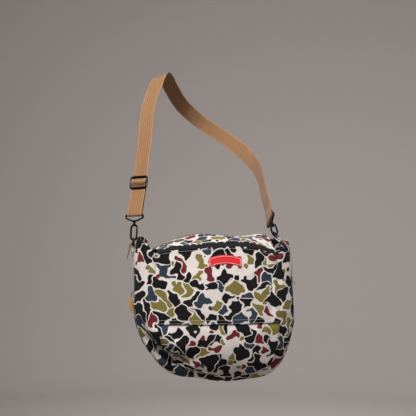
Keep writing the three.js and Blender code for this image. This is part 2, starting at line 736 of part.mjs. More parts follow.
// Leather pull on a short cord at the left side, and the end of a lace at the right side.
const PULL_CORD = [
  { x: 0, z: 0 }, { x: -3.2, z: -1.4 }, { x: -5.4, z: -5 }, { x: -5.8, z: -9 }, { x: -5.8, z: -13 },
];
const RIGHT_LACE = [{ x: 0, z: 0 }, { x: 3, z: -1.2 }, { x: 4.8, z: -4.4 }, { x: 5.2, z: -8 }];
const PULL_PLACE = { s: 0.116, w: 0.53 };
const LACE_PLACE = { s: 0.914, w: 0.45 };
const pullRoot = gusset(PULL_PLACE.s, PULL_PLACE.w).add(vec(-GAP - CORD_R * 0.4, 0, 0));
const laceRoot = gusset(LACE_PLACE.s, LACE_PLACE.w).add(vec(GAP + LACE_R * 0.4, 0, 0));
const drop = (root, table) => table.map((p) => root.clone().add(vec(p.x, 0, p.z)));
add(bag, 'pull_cord', rod(drop(pullRoot, PULL_CORD), CORD_R, 6), COLOURS.cord, 0.8, 0);
add(bag, 'right_lace', rod(drop(laceRoot, RIGHT_LACE), LACE_R, 5), COLOURS.tan_leather, 0.7, 0);
const pullEnd = PULL_CORD[PULL_CORD.length - 1];
function pullShape() {
  const shape = new THREE.Shape();
  const half = PULL_W / 2;
  shape.moveTo(-half * 0.6, 0);
  shape.lineTo(half * 0.6, 0);
  shape.lineTo(half, -PULL_W * 0.7);
  shape.lineTo(half * 0.8, -PULL_H);
  shape.lineTo(-half * 0.8, -PULL_H);
  shape.lineTo(-half, -PULL_W * 0.7);
  shape.closePath();
  return shape;
}
const pull = new THREE.ExtrudeGeometry(pullShape(), { depth: PULL_T, bevelEnabled: false, steps: 1 });
pull.translate(0, 0, -PULL_T / 2);
pull.rotateX(Math.PI / 2);
pull.translate(pullRoot.x + pullEnd.x, pullRoot.y, pullRoot.z + pullEnd.z - GAP);
add(bag, 'pull_tab', pull, COLOURS.tan_leather, 0.6, 0);

// Strap. Its long run passes over the shoulder and behind the body to the right hook.
const SHOULDER_RUN = [
  { x: -76, y: -152, z: -256 }, { x: -69, y: -137, z: -213 }, { x: -61, y: -118, z: -165 },
  { x: -49, y: -82, z: -90 }, { x: -26, y: -43, z: -33 }, { x: -13, y: -21, z: -8 },
  { x: 0, y: 0, z: WEB_T / 2 }, { x: 14, y: 24, z: -7 }, { x: 30, y: 52, z: -28 },
  { x: 66, y: 98, z: -68 }, { x: 122, y: 126, z: -110 }, { x: 186, y: 112, z: -153 },
  { x: 232, y: 62, z: -198 }, { x: 251, y: -14, z: -249 }, { x: 249, y: -100, z: -316 },
];
// Width direction of the webbing along that run
const SHOULDER_TURN = [
  { k: 0, x: 0.81, y: -0.57, z: 0.07 }, { k: 3, x: 0.86, y: -0.45, z: 0.1 },
  { k: 4.5, x: 0.88, y: -0.4, z: 0.2 }, { k: 6, x: 0.84, y: -0.35, z: 0.42 },
  { k: 8, x: 0.8, y: -0.3, z: 0.5 }, { k: 10, x: 0.55, y: 0.05, z: 0.83 },
  { k: 12, x: 0.2, y: 0.3, z: 0.93 }, { k: 14, x: 0.19, y: -0.66, z: 0.72 },
];

// Slider on the webbing: its middle, the webbing's way up through it and its face.
const slideAt = vec(-82, -163, -281);
const runStart = vec(SHOULDER_RUN[0].x, SHOULDER_RUN[0].y, SHOULDER_RUN[0].z);
const slideUp = runStart.sub(eyes.left.bar).normalize();
const SLIDE_FACE = vec(0.82, -0.57, 0);
const slideAcross = SLIDE_FACE.clone().addScaledVector(slideUp, -SLIDE_FACE.dot(slideUp)).normalize();
const slideOut = slideAcross.clone().cross(slideUp).normalize();
if (slideOut.y > 0) slideOut.negate();

// Slider: a flat frame with two windows and a round middle bar.
function sliderBody() {
  const shape = new THREE.Shape();
  const halfW = SLIDER_OUT_W / 2;
  const halfH = SLIDER_H / 2;
  const cut = SLIDER_CUT;
  shape.moveTo(-halfW + cut, -halfH);
  shape.lineTo(halfW - cut, -halfH);
  shape.lineTo(halfW, -halfH + cut);
  shape.lineTo(halfW, halfH - cut);
  shape.lineTo(halfW - cut, halfH);
  shape.lineTo(-halfW + cut, halfH);
  shape.lineTo(-halfW, halfH - cut);
  shape.lineTo(-halfW, -halfH + cut);
  shape.closePath();
  const window = new THREE.Path();
  const winW = SLIDER_WINDOW_W / 2;
  const winH = halfH - SLIDER_BAR;
  window.moveTo(-winW, -winH);
  window.lineTo(-winW, winH);
  window.lineTo(winW, winH);
  window.lineTo(winW, -winH);
  window.closePath();
  shape.holes.push(window);
  const frame = new THREE.ExtrudeGeometry(shape, { depth: SLIDER_T, bevelEnabled: false, steps: 1 });
  frame.translate(0, 0, -SLIDER_T / 2);
  const middle = new THREE.CylinderGeometry(SLIDER_MID, SLIDER_MID, SLIDER_WINDOW_W + SLIDER_CUT, SIDES);
  middle.rotateZ(Math.PI / 2);
  return joined([frame, middle]);
}
const slider = sliderBody();
slider.applyMatrix4(basis(slideAcross, slideUp, slideOut, slideAt));
add(group, 'slider', slider, COLOURS.metal, 0.45, 0.8);

// Webbing seen from its edge at the slider and the eyes: along (up) and out (to its face).
const CHORD = 0.25;
const WRAP = SLIDER_MID + GAP + CHORD + WEB_T / 2;
const OVER = WRAP + WEB_T + GAP;
const BEHIND = -(SLIDER_T / 2 + GAP + WEB_T / 2);
const WINDOW_IN = SLIDER_H / 2 - SLIDER_BAR - 1.8;
const WINDOW_OUT = SLIDER_H / 2 - SLIDER_BAR - 5.6;
const EYE_WRAP = EYE_WIRE + GAP + CHORD + WEB_T / 2;
const REAR = BEHIND - WEB_T - 3;
const TAIL_AT_SLIDER = [
  { along: -5, out: -WRAP - 2.2 }, { along: -16, out: REAR - 0.6 }, { along: -30, out: REAR - 1.2 },
];
const REAR_AT_EYE = [{ along: 22, out: -EYE_WRAP - 2 }, { along: 9, out: -EYE_WRAP - 0.6 }];
const FRONT_AT_EYE = [{ along: 9, out: EYE_WRAP - 0.4 }, { along: 22, out: EYE_WRAP - 1.4 }];
const INTO_SLIDER = [
  { along: -30, out: BEHIND - 0.2 }, { along: -SLIDER_H / 2 - 2, out: BEHIND },
  { along: -WINDOW_IN, out: BEHIND }, { along: -WINDOW_OUT, out: WEB_T / 2 },
];
const OUT_OF_SLIDER = [
  { along: WINDOW_OUT, out: WEB_T / 2 }, { along: WINDOW_IN, out: BEHIND },
  { along: SLIDER_H / 2 + 2, out: BEHIND },
];
const ONTO_RIGHT_EYE = [{ along: 30, out: EYE_WRAP * 0.7 }, { along: 12, out: EYE_WRAP }];
const SEWN_BACK = [
  { along: 8, out: -EYE_WRAP + 0.8 }, { along: 18, out: EYE_WRAP * 0.85 - WEB_T - 2 * GAP },
  { along: 38, out: EYE_WRAP * 0.62 - WEB_T - 2 * GAP },
];

const strapStations = [];
const strapAt = (p, e) => strapStations.push({ p, e: e.clone() });
function layAlong(table, base, e) {
  for (const p of table) {
    strapAt(base.at.clone().addScaledVector(base.up, p.along).addScaledVector(base.out, p.out), e);
  }
}
function wrapRound(base, radius, from, to, steps, e) {
  for (const p of arc(base.at, base.up, base.out, radius, from, to, steps)) strapAt(p, e);
}

// Place of the webbing on a hook's eye: its bar, the way up to the next holder, and the way out.
function eyePlace(at, along, toward, facing) {
  const span = toward.clone().sub(at);
  const up = span.addScaledVector(along, -span.dot(along)).normalize();
  const out = along.clone().cross(up).normalize();
  if (out.dot(facing) < 0) out.negate();
  return { at, up, out };
}

// End of the webbing wrapped on the middle bar, then the rear ply down to the eye
const onSlider = { at: slideAt, up: slideUp, out: slideOut };
const leftAlong = eyes.left.along;
const onLeftEye = eyePlace(eyes.left.bar, leftAlong, slideAt, vec(0, -1, 0));
wrapRound(onSlider, WRAP, 190, -90, 12, slideAcross);
layAlong(TAIL_AT_SLIDER, onSlider, slideAcross);
layAlong(REAR_AT_EYE, onLeftEye, leftAlong);
wrapRound(onLeftEye, EYE_WRAP, -90, -270, 9, leftAlong);
// Front ply up to the slider, over its middle bar and on to the shoulder
layAlong(FRONT_AT_EYE, onLeftEye, leftAlong);
layAlong(INTO_SLIDER, onSlider, slideAcross);
wrapRound(onSlider, OVER, 135, 45, 5, slideAcross);
layAlong(OUT_OF_SLIDER, onSlider, slideAcross);

const shoulderPoints = SHOULDER_RUN.map((p) => vec(p.x, p.y, p.z));
const shoulderCurve = new THREE.CatmullRomCurve3(shoulderPoints, false, 'centripetal');
const SHOULDER_STEPS = 56;
for (let i = 0; i <= SHOULDER_STEPS; i += 1) {
  const t = i / SHOULDER_STEPS;
  const k = t * (SHOULDER_RUN.length - 1);
  const e = vec(column(SHOULDER_TURN, 'k', 'x', k), column(SHOULDER_TURN, 'k', 'y', k),
    column(SHOULDER_TURN, 'k', 'z', k));
  strapAt(shoulderCurve.getPoint(t), e);
}
// Loop round the bar of the right hook, sewn back on itself
const rightAlong = eyes.right.along.clone().negate();
const runEnd = shoulderPoints[shoulderPoints.length - 1];
const onRightEye = eyePlace(eyes.right.bar, rightAlong, runEnd, vec(1, 0, 0));
layAlong(ONTO_RIGHT_EYE, onRightEye, rightAlong);
wrapRound(onRightEye, EYE_WRAP, 90, 270, 9, rightAlong);
layAlong(SEWN_BACK, onRightEye, rightAlong);
add(group, 'strap', ribbon(strapStations, WEB_W, WEB_T), COLOURS.webbing, 0.85, 0);

export default group;
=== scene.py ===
"""Looks of a soft printed canvas shoulder bag on a webbing strap, in the form it takes when worn."""
import math

import bpy
import numpy as np
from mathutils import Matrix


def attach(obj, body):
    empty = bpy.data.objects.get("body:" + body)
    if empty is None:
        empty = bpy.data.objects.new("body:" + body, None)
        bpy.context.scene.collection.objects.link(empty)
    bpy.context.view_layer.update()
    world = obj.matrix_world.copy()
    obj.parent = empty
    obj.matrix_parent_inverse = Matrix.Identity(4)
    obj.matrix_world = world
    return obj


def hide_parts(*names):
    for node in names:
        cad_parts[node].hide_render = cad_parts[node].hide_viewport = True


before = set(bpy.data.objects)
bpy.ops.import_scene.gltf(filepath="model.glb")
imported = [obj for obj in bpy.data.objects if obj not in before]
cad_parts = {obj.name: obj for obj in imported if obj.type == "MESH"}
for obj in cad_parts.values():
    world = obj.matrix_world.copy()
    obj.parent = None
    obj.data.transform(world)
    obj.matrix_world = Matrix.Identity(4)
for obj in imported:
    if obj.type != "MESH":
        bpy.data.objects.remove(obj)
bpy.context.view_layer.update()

bl_info = {
    "name": "Canvas shoulder bag",
    "version": (1, 0, 0),
    "blender": (4, 5, 0),
    "location": "View3D > Sidebar > Bag",
    "description": "Builds the cloth, webbing, leather and metal of a worn canvas shoulder bag",
    "category": "Object",
}

# Sizes are in millimetres. The bag is drawn round its own middle line, which lies BAG_AT off the shoulder
MM = 0.001
BAG_AT = np.array([96.0, -215.0, 0.0])
BAG_MIDDLE = np.array([0.0, 0.0, -590.0])
RIGHTWARD, FORWARD = np.array([1.0, 0.0, 0.0]), np.array([0.0, -1.0, 0.0])

# Cloth and seams
CLOTH = 1.6
GAP = 0.3
SEAT = 0.15
LAP = 9.0
PANEL_LENGTH = 330.0
HEM_V = 0.512
HEM_EASE = 0.05
HEM_LAP_V = LAP / PANEL_LENGTH
EAR_V = 0.17
FRONT_ROUND, GUSSET_ROUND = 2.2, 2.6
BOTTOM_SAG = 8.0
SEAM_STEP = CLOTH + GAP + 0.5
LAP_STEP = CLOTH + GAP + 0.2
SIDE_SHARE = 0.4
RIM_ROUND = 0.3
# Steps along the surfaces by which their slopes are taken
STRIDE, SEAM_STRIDE = 0.01, 0.02
# Halvings that find a point of the front, and fine steps for each point of a smooth line
HALVINGS, CURVE_FINE = 40, 12
# Flat profiles: points, and the powers that square off an oval across its width and its thickness
FLAT_SIDES, FLAT_EDGE, FLAT_FACE = 28, 0.3, 0.75

# Mouth
RIDGE_Y, RIDGE_STEP = 52.0, 1.4
ZIP_THICK, ZIP_INSET, ZIP_END = 2.2, 0.5, 0.012
ZIP_GROOVE, ZIP_GROOVE_HALF, ZIP_BACK_EASE = 0.5, 0.2, 0.3
TEETH, TOOTH_SIDES, TEETH_END = 190, 8, 0.01
TOOTH_HALF, TOOTH_TALL, TOOTH_SHARE, TOOTH_OFF = 0.5, 1.9, 0.2, 0.55
TOOTH_ROOT, TOOTH_FACE, TOOTH_TAPER = 0.35, 0.55, 0.8
TOP_INSET, TOP_CROWN, TOP_END = 1.0, 4.0, 0.014

# Grids of points, across and down
FRONT_GRID, GUSSET_GRID, BACK_GRID = (180, 96), (300, 56), (150, 150)
ZIP_GRID, TOP_GRID, LABEL_GRID = (200, 6), (170, 60), (80, 24)
# Where the print starts on the pieces that don't carry on the front's
LOWER_PRINT, BACK_PRINT, TOP_PRINT = (137, -85), (420, 60), (-260, 300)

# Rows of the front and back panels from the mouth down
PANEL = {
    "v": (0.0, 0.16, 0.33, 0.487, 0.605, 0.71, 0.836, 0.924, 1.0),
    "left_x": (-148, -148, -149, -149, -141, -123, -98, -74, -50),
    "left_z": (-453, -505, -560, -612, -650, -681, -714, -730, -738),
    "right_x": (149, 147, 150, 152, 148, 142, 131, 117, 93),
    "right_z": (-460, -509, -560, -612, -650, -687, -719, -735, -744),
    "front_y": (-51, -64, -72, -77, -78, -74, -62, -50, -40),
    "front_edge_y": (-46, -51, -55, -58, -58, -55, -49, -42, -35),
    "back_y": (53, 56, 58, 58, 57, 55, 51, 46, 38),
    "back_edge_y": (50, 52, 53, 53, 52, 50, 46, 41, 34),
    "bulge": (52, 48, 47, 47, 43, 37, 29, 22, 16),
}
# The mouth across the bag: lower edge of the zip, its height, and the ridge behind it
MOUTH = {
    "u": (0.0, 0.14, 0.34, 0.5, 0.66, 0.8, 0.92, 1.0),
    "zip_z": (-453, -445, -441, -438, -437, -441, -451, -460),
    "zip_h": (5.5, 7.5, 9.0, 10.0, 10.5, 10.5, 9.5, 6.0),
    "ridge_z": (-446, -428, -409, -409, -412, -413, -409, -414),
}
# The ears from front to back: rise and inward lean of the gusset's two ends
EARS = {
    "w": (0, 0.1, 0.25, 0.45, 0.7, 0.88, 1),
    "left_rise": (0, 23, 36, 40, 40, 29, 0),
    "left_lean": (0, 0, 4, 13, 19, 15, 0),
    "right_rise": (0, 24, 40, 45, 35, 37, 40),
    "right_lean": (0, 12, 36, 53, 24, 10, 0),
}
# Rear half of the right ear: where it stands out, how wide, how far and how high
REAR_EAR = {"w": 0.74, "width": 0.11, "out": 19.0, "up": 3.0}

# The deep sag fold at the lower left: its line, its floor and fades, the roll above it and its drooping lip
SAG_FOLD = {
    "x": (-190, -174, -160, -134, -104, -76, -50),
    "z": (-598, -638, -652, -676, -690, -693, -692),
    "depth": (6, 22, 34, 38, 27, 9, 0),
}
SAG_FLOOR, SAG_BELOW, SAG_ABOVE = 10.0, 42.0, 8.0
SAG_ROLL, SAG_ROLL_WIDTH, SAG_ROLL_SHARE = 20.0, 13.0, 0.3
SAG_DROOP, SAG_LIP = 0.35, 7.0
# How the fold goes on round the gusset: its share, and from where to where it comes in and fades
SIDE_FOLD = 0.35
SIDE_FOLD_IN, SIDE_FOLD_OUT, SIDE_DROOP_OUT = (0.0, 0.25), (0.45, 0.85), (0.3, 0.8)
# Soft upright folds beside the seams and in the lower panel
SOFT_FOLDS = {
    "x": (-148, -148, -128, 130, 149, 150, 62),
    "z": (-464, -545, -540, -545, -478, -560, -690),
    "half_height": (30, 90, 75, 80, 34, 90, 40),
    "half_width": (7, 5, 11, 10, 7, 5, 24),
    "depth": (9, 3, 4, 4, 7, 3, 3),
}
# Pull lines in the cloth below the two ears: root, heading in degrees, width, reach, height
PULL_LINES = {
    "x": (-150, -150, -150, 150, 150, 150),
    "z": (-452, -452, -452, -458, -458, -458),
    "heading": (-28, -50, -74, -150, -128, -104),
    "width": (8, 9, 10, 8, 9, 10),
    "reach": (95, 120, 120, 90, 120, 110),
    "height": (1.6, 2.0, 1.5, 1.5, 1.9, 1.5),
}
PULL_START, PULL_SPREAD, PULL_WAVE = (4, 30), 0.6, 1.6
# Waves in the cloth of each piece: height, length across, length down, seed
WAVES = {
    "front": ((1.5, 150, 190, 1), (0.55, 52, 66, 2)),
    "gusset": ((1.5, 110, 150, 3), (0.6, 44, 52, 4)),
    "seam": ((1.0, 90, 400, 5),),
    "top": ((0.9, 60, 1, 6),),
    "back": ((1.3, 140, 170, 7), (0.4, 50, 60, 8)),
}
# Ripples: number of plane waves, pace of the first and growth to the next, then how seeds set them apart
GOLDEN_ANGLE = 2.399963
RIPPLE_COUNT, RIPPLE_PACE, RIPPLE_GROWTH = 6, 0.7, 0.22
RIPPLE_TURN, RIPPLE_SHIFT, RIPPLE_SEED, RIPPLE_SCALE = 1.37, 5.1, 2.7, 3.2
# How much of x counts as height in the gusset's waves
GUSSET_SLANT = 0.4
# Puckers at the zip, the hem and the bottom: height, spacing, unevenness. Below them, their reach in v
PUCKERS = ((0.5, 13, 2.0), (0.45, 15, 3.0), (1.5, 19, 2.5))
ZIP_PUCKER, HEM_PUCKER, HEM_PUCKER_UP, BOTTOM_PUCKER, BOTTOM_CALM = 0.045, 0.03, 0.012, 0.09, 0.04
# Where the relief calms down: powers toward the side seams, and spans of v at the ears and the back's ends
SIDE_CALM, GUSSET_CALM, EAR_CALM = 8, 6, (0.16, 0.34)
BACK_CALM_TOP, BACK_CALM_BOTTOM = 0.08, 0.06

# Label
LABEL_W, LABEL_H, LABEL_RISE = 80.0, 21.0, 8.0
LABEL_X, LABEL_Z, LABEL_THICK = 17.0, -471.0, 1.2
LABEL_SEAT = GAP + SEAT
LABEL_PUFF, LABEL_PUFF_EDGE = 0.35, 1.5
BORDER_INSET, BORDER_LIFT, BORDER_THREAD = 2.6, 0.1, (0.35, 0.5)
BORDER_LONG, BORDER_SHORT, BORDER_SIDES = 60, 16, 10

# Tabs, rings and hooks: place on the gusset, pull of the strap, direction of the hook's eye
FITTINGS = {
    "left": {"s": 0.012, "w": 0.56, "pull": (0.07, 0.2, 0.977), "eye": (0.86, -0.5, 0.06)},
    "right": {"s": 0.998, "w": 0.45, "pull": (-0.05, 0.78, 0.62), "eye": (-0.19, 0.62, -0.76)},
}
TAB_W, TAB_T, TAB_LONG, TAB_LIFT = 19.0, 1.6, 27.0, 1.5
TAB_STEPS = TAB_LONG * np.array([1, 0.75, 0.5, 0.28])
TAB_FOLD_OUT, TAB_FOLD_DOWN = 0.8, 0.12
# Points round the wires, on their paths and on half a turn round a bar
WIRE_SIDES, BARREL_SIDES = 18, 24
TAB_POINTS, RING_POINTS, BOW_POINTS, EYE_POINTS, BAR_POINTS, WRAP_STEPS = 120, 40, 90, 110, 12, 12
RING_WIRE, RING_W, RING_H, RING_SEAT = 2.0, 24.0, 17.0, 0.35
RING_SHOULDER, RING_SQUARE, RING_ARCH = 0.42, 0.8, 0.9
# The ring's lower corners: in from its side, and up
RING_FOOT = {"in": (0, 0.5, 2), "z": (2.2, 0.6, 0)}
HOOK_WIRE, HOOK_HALF, HOOK_TOP = 2.5, 7.0, 33.0
HOOK_LOW = -(RING_WIRE + RING_SEAT + HOOK_WIRE)
GATE_LOW, GATE_HIGH, GATE_WIRE, GATE_ROOM = 6.0, 25.0, 2.1, 1.7
GATE_ROUND, GATE_END, GATE_STEPS = 0.4, 0.82, 14
HOOK_BOW = {
    "x": (1, 0.93, 0.62, 0, -0.62, -0.93, -1, -1, -0.85, -0.4, 0.4, 0.85, 1),
    "z": (GATE_LOW - GAP, 1.5, -2.6, HOOK_LOW, -2.6, 1.5, 8, 23, 28, HOOK_TOP - 1, HOOK_TOP - 1, 29.5,
          GATE_HIGH + GATE_ROOM),
}
EYE_WIRE, EYE_HALF, EYE_LOW, EYE_BAR, EYE_FOOT, EYE_CHEEK = 2.2, 22.2, 43.0, 58.0, 5.0, 8.0
EYE_CORNER, EYE_TUCK, EYE_DIP = 3.0, 0.8, 0.4
EYE_SIDE, EYE_TURN = EYE_HALF - EYE_TUCK, EYE_HALF - EYE_CORNER
EYE_LOOP = {
    "x": (-EYE_FOOT, 0, EYE_FOOT, EYE_SIDE, EYE_HALF, EYE_SIDE, EYE_TURN, 0, -EYE_TURN, -EYE_SIDE, -EYE_HALF,
          -EYE_SIDE),
    "z": (EYE_LOW, EYE_LOW - EYE_DIP, EYE_LOW, EYE_BAR - EYE_CHEEK, EYE_BAR - EYE_CORNER, EYE_BAR - EYE_TUCK,
          EYE_BAR, EYE_BAR, EYE_BAR, EYE_BAR - EYE_TUCK, EYE_BAR - EYE_CORNER, EYE_BAR - EYE_CHEEK),
}
BARREL_R, BARREL_CREEP = 4.4, 0.01
BARREL = {
    "radius": (0.05, 0.9, 1, 1, 0.9, 0.65, 0.65, 0.95, 1.05, 1.05, 0.9, 0.05),
    "z": (HOOK_TOP - 3, HOOK_TOP - 3, HOOK_TOP - 2.4, HOOK_TOP + 2.4, HOOK_TOP + 3, HOOK_TOP + 4,
          HOOK_TOP + 6, HOOK_TOP + 6.6, HOOK_TOP + 7.2, EYE_LOW + 0.4, EYE_LOW + 1, EYE_LOW + 1),
}

# Slider
SLIDER_H, SLIDER_T, SLIDER_BAR, SLIDER_MID = 34.0, 3.4, 4.6, 2.0
SLIDER_WINDOW_W, SLIDER_OUT_W = 39.6, 48.0
SLIDER_CORNER, WINDOW_CORNER, SLIDER_SOFT, SLIDER_SIDES = 0.28, 0.16, 0.5, 96
SLIDER_BEVEL, WINDOW_BEVEL = (0.985, 0.98), (1.015, 1.03)
BAR_SEAT = 1.5
SLIDE_AT = np.array([-82.0, -163.0, -281.0])
SLIDE_FACE = np.array([0.82, -0.57, 0.0])

# Webbing: how far its middle lies from the bars it wraps, and from the slider's middle plane
WEB_W, WEB_T, CHORD = 38.0, 1.8, 0.25
WRAP = SLIDER_MID + GAP + CHORD + WEB_T / 2
OVER_WRAP = WRAP + WEB_T + GAP
EYE_WRAP = EYE_WIRE + GAP + CHORD + WEB_T / 2
BEHIND = -(SLIDER_T / 2 + GAP + WEB_T / 2)
REAR = BEHIND - WEB_T - 3
UNDER = WEB_T + 2 * GAP
WINDOW_IN, WINDOW_OUT = SLIDER_H / 2 - SLIDER_BAR - 1.8, SLIDER_H / 2 - SLIDER_BAR - 5.6
SLIDER_CLEAR = SLIDER_H / 2 + 2
# Its way in short runs: up from the bar it belongs to, and out of that bar's plane
TAIL_AT_SLIDER = {"up": (-5, -16, -30), "out": (-WRAP - 2.2, REAR - 0.6, REAR - 1.2)}
REAR_AT_EYE = {"up": (22, 9), "out": (-EYE_WRAP - 2, -EYE_WRAP - 0.6)}
FRONT_AT_EYE = {"up": (9, 22), "out": (EYE_WRAP - 0.4, EYE_WRAP - 1.4)}
INTO_SLIDER = {
    "up": (-30, -SLIDER_CLEAR, -WINDOW_IN, -WINDOW_OUT),
    "out": (BEHIND - 0.2, BEHIND, BEHIND, WEB_T / 2),
}
OUT_OF_SLIDER = {"up": (WINDOW_OUT, WINDOW_IN, SLIDER_CLEAR), "out": (WEB_T / 2, BEHIND, BEHIND)}
ONTO_RIGHT_EYE = {"up": (30, 12), "out": (EYE_WRAP * 0.7, EYE_WRAP)}
SEWN_BACK = {"up": (8, 18, 38), "out": (0.8 - EYE_WRAP, EYE_WRAP * 0.85 - UNDER, EYE_WRAP * 0.62 - UNDER)}
# Its middle line over the shoulder, and its width direction by station
SHOULDER_RUN = {
    "x": (-76, -69, -61, -49, -26, -13, 0, 14, 30, 66, 122, 186, 232, 251, 249),
    "y": (-152, -137, -118, -82, -43, -21, 0, 24, 52, 98, 126, 112, 62, -14, -100),
    "z": (-256, -213, -165, -90, -33, -8, WEB_T / 2, -7, -28, -68, -110, -153, -198, -249, -316),
}
SHOULDER_TURN = {
    "k": (0, 3, 4.5, 6, 8, 10, 12, 14),
    "x": (0.81, 0.86, 0.88, 0.84, 0.8, 0.55, 0.2, 0.19),
    "y": (-0.57, -0.45, -0.4, -0.35, -0.3, 0.05, 0.3, -0.66),
    "z": (0.07, 0.1, 0.2, 0.42, 0.5, 0.83, 0.93, 0.72),
}
SHOULDER_STEPS, WEB_SIDES = 120, 36

# Laces, in the left fitting's own directions: up the pull, out of the cloth, along the bar
LACE_R, CORD_R, LACE_SIDES = 1.3, 0.9, 16
LACE_STEPS, LACE_TIP, LACE_TIP_SCALE = 40, 0.97, 0.8
LACE_OVER = RING_WIRE + GAP + TAB_T + LACE_R + 0.35
LACE_FRONT = {
    "up": (5.5, 5.3, 1.5, -6, -15, -25, -35),
    "out": (-1, 3.5, LACE_OVER + 2.4, LACE_OVER + 2.6, LACE_OVER + 0.7, LACE_OVER + 0.5, LACE_OVER + 0.9),
    "bar": (-5.5, -5.5, -5.2, -3.9, -1.8, -1.6, -2.2),
}
LACE_BACK = {
    "up": (5.5, 5.3, 1.5, -8, -19, -26),
    "out": (-1, 3, LACE_OVER, LACE_OVER + 0.4, LACE_OVER + 0.4, LACE_OVER + 0.5),
    "bar": (5.5, 5.5, 5.2, 3.4, 1.7, 2.2),
}
# Pull and lace end: places on the gusset, routes from there, and the pull's outline down its length
PULL_PLACE, LACE_PLACE = (0.116, 0.53), (0.914, 0.45)
ROOT_SINK, TRIM_POINTS, TRIM_SIDES, PULL_POINTS = 0.4, 24, 14, 40
PULL_CORD = {"x": (0, -3.2, -5.4, -5.8, -5.8), "z": (0, -1.4, -5, -9, -13)}
RIGHT_LACE = {"x": (0, 3, 4.8, 5.2), "z": (0, -1.2, -4.4, -8)}
PULL_W, PULL_H, PULL_T, PULL_BOW = 8.0, 33.0, 2.4, 0.5
PULL_OUTLINE = {"drop": (0, 0.3, 0.7 * PULL_W, PULL_H - 0.6, PULL_H), "width": (0.5, 0.6, 1.0, 0.8, 0.72)}

# Stitches: spacing, length, thickness, points along and around, and the rows on the front by their v
STITCH_PITCH, STITCH_LONG, STITCH_R, STITCH_RINGS, STITCH_SIDES = 3.4, 2.6, 0.4, 5, 6
STITCH_LIFT, STITCH_DIVE, STITCH_TAPER, STITCH_TIP = 0.9, 5.2, 1.8, 0.05
STITCH_ROWS = {"hem_row_low": HEM_V - 0.007, "hem_row_high": HEM_V - 0.031, "zip_row": 0.011}
ROW_POINTS, FRONT_ROW_END, TOP_ROW_END, TOP_ROW_Q = 400, 0.012, 0.01, 0.045
TOP_FACING = np.array([0.0, -0.5, 0.87])

# Print: dyes as display values, then blobs and small spots by dye, share of the cells and size in cells
DYES = {
    "ground": (218, 209, 203),
    "black": (29, 27, 28),
    "olive": (122, 112, 58),
    "burgundy": (110, 40, 44),
    "teal": (50, 61, 73),
}
PRINT_BLOBS = {
    "dye": ("black", "olive", "burgundy", "teal", "olive", "ground"),
    "share": (0.5, 0.11, 0.11, 0.17, 0.06, 0.05),
    "size": (0.7, 0.54, 0.44, 0.58, 0.4, 0.0),
}
PRINT_SPOTS = {
    "dye": ("black", "olive", "burgundy", "teal"),
    "share": (0.3, 0.35, 0.2, 0.15),
    "size": (1.0, 1.0, 1.0, 1.0),
}
# Cells, lines and edges of the print, in metres
PRINT_CELL, PRINT_LINE, PRINT_EDGE, PRINT_SOFT = 0.03, 0.0034, 0.0004, 0.004
# PRINT_SPREAD deals the dyes out evenly over the cells, and PRINT_STRAY loosens that
PRINT_SPREAD, PRINT_STRAY, PRINT_LOOSE = (0.7549, 0.5698, 0), 0.22, 0.9
BLOB_LEAST, BLOB_MORE = 0.8, 0.4
SPOT_CELL, SPOT_ROOM, SPOT_LEAST, SPOT_MORE = 0.02, 0.007, 0.0036, 0.0028
# Warps of the print: pace and reach
EDGE_WARP, BLOB_WARP = (85.0, 0.008), (36.0, 0.047)
# Webbing's weave, in metres: ribs along, yarns and stripes across, chevron, and where the selvedge starts
WEB_RIB, WEB_YARN, WEB_STRIPE, WEB_CHEVRON, SELVEDGE = 0.0021, 0.0016, 0.0055, 0.004, (0.0148, 0.0162)
WEB_TONES = {"dark": (98, 66, 38), "light": (173, 127, 85), "worn": (168, 131, 94), "edge": (182, 132, 86)}
# Light and dark tone of the other finishes, and yarn of the woven ones
TONES = {
    "brown_leather": ((150, 88, 50), (92, 48, 26)),
    "tan_leather": ((206, 150, 72), (150, 98, 40)),
    "zip_tape": ((36, 35, 37), (16, 16, 18)),
    "zip_teeth": ((44, 43, 44), (14, 14, 15)),
    "label_red": ((226, 16, 26), (190, 10, 18)),
    "label_border": ((236, 228, 222), (200, 190, 184)),
    "dark_cord": ((48, 40, 36), (24, 20, 18)),
    "thread": ((214, 206, 200), (160, 152, 148)),
}
YARNS = {"zip_tape": 0.0009, "label_red": 0.0007, "label_border": 0.0006, "dark_cord": 0.0006,
         "thread": 0.0005}
METAL_PAINT, METAL_RUBBED = (0.012, 0.012, 0.013, 1), (0.045, 0.043, 0.042, 1)

# Stage, in metres. The camera looks level, turned 10 degrees, for a picture of 416 by 416
CAMERA_AT = (-0.4054, -2.9748, -0.344)
CAMERA_YAW = math.radians(-10)
CAMERA_SENSOR, CAMERA_FAR = 36, 50
CAMERA_LENS = 1151 / 416 * CAMERA_SENSOR
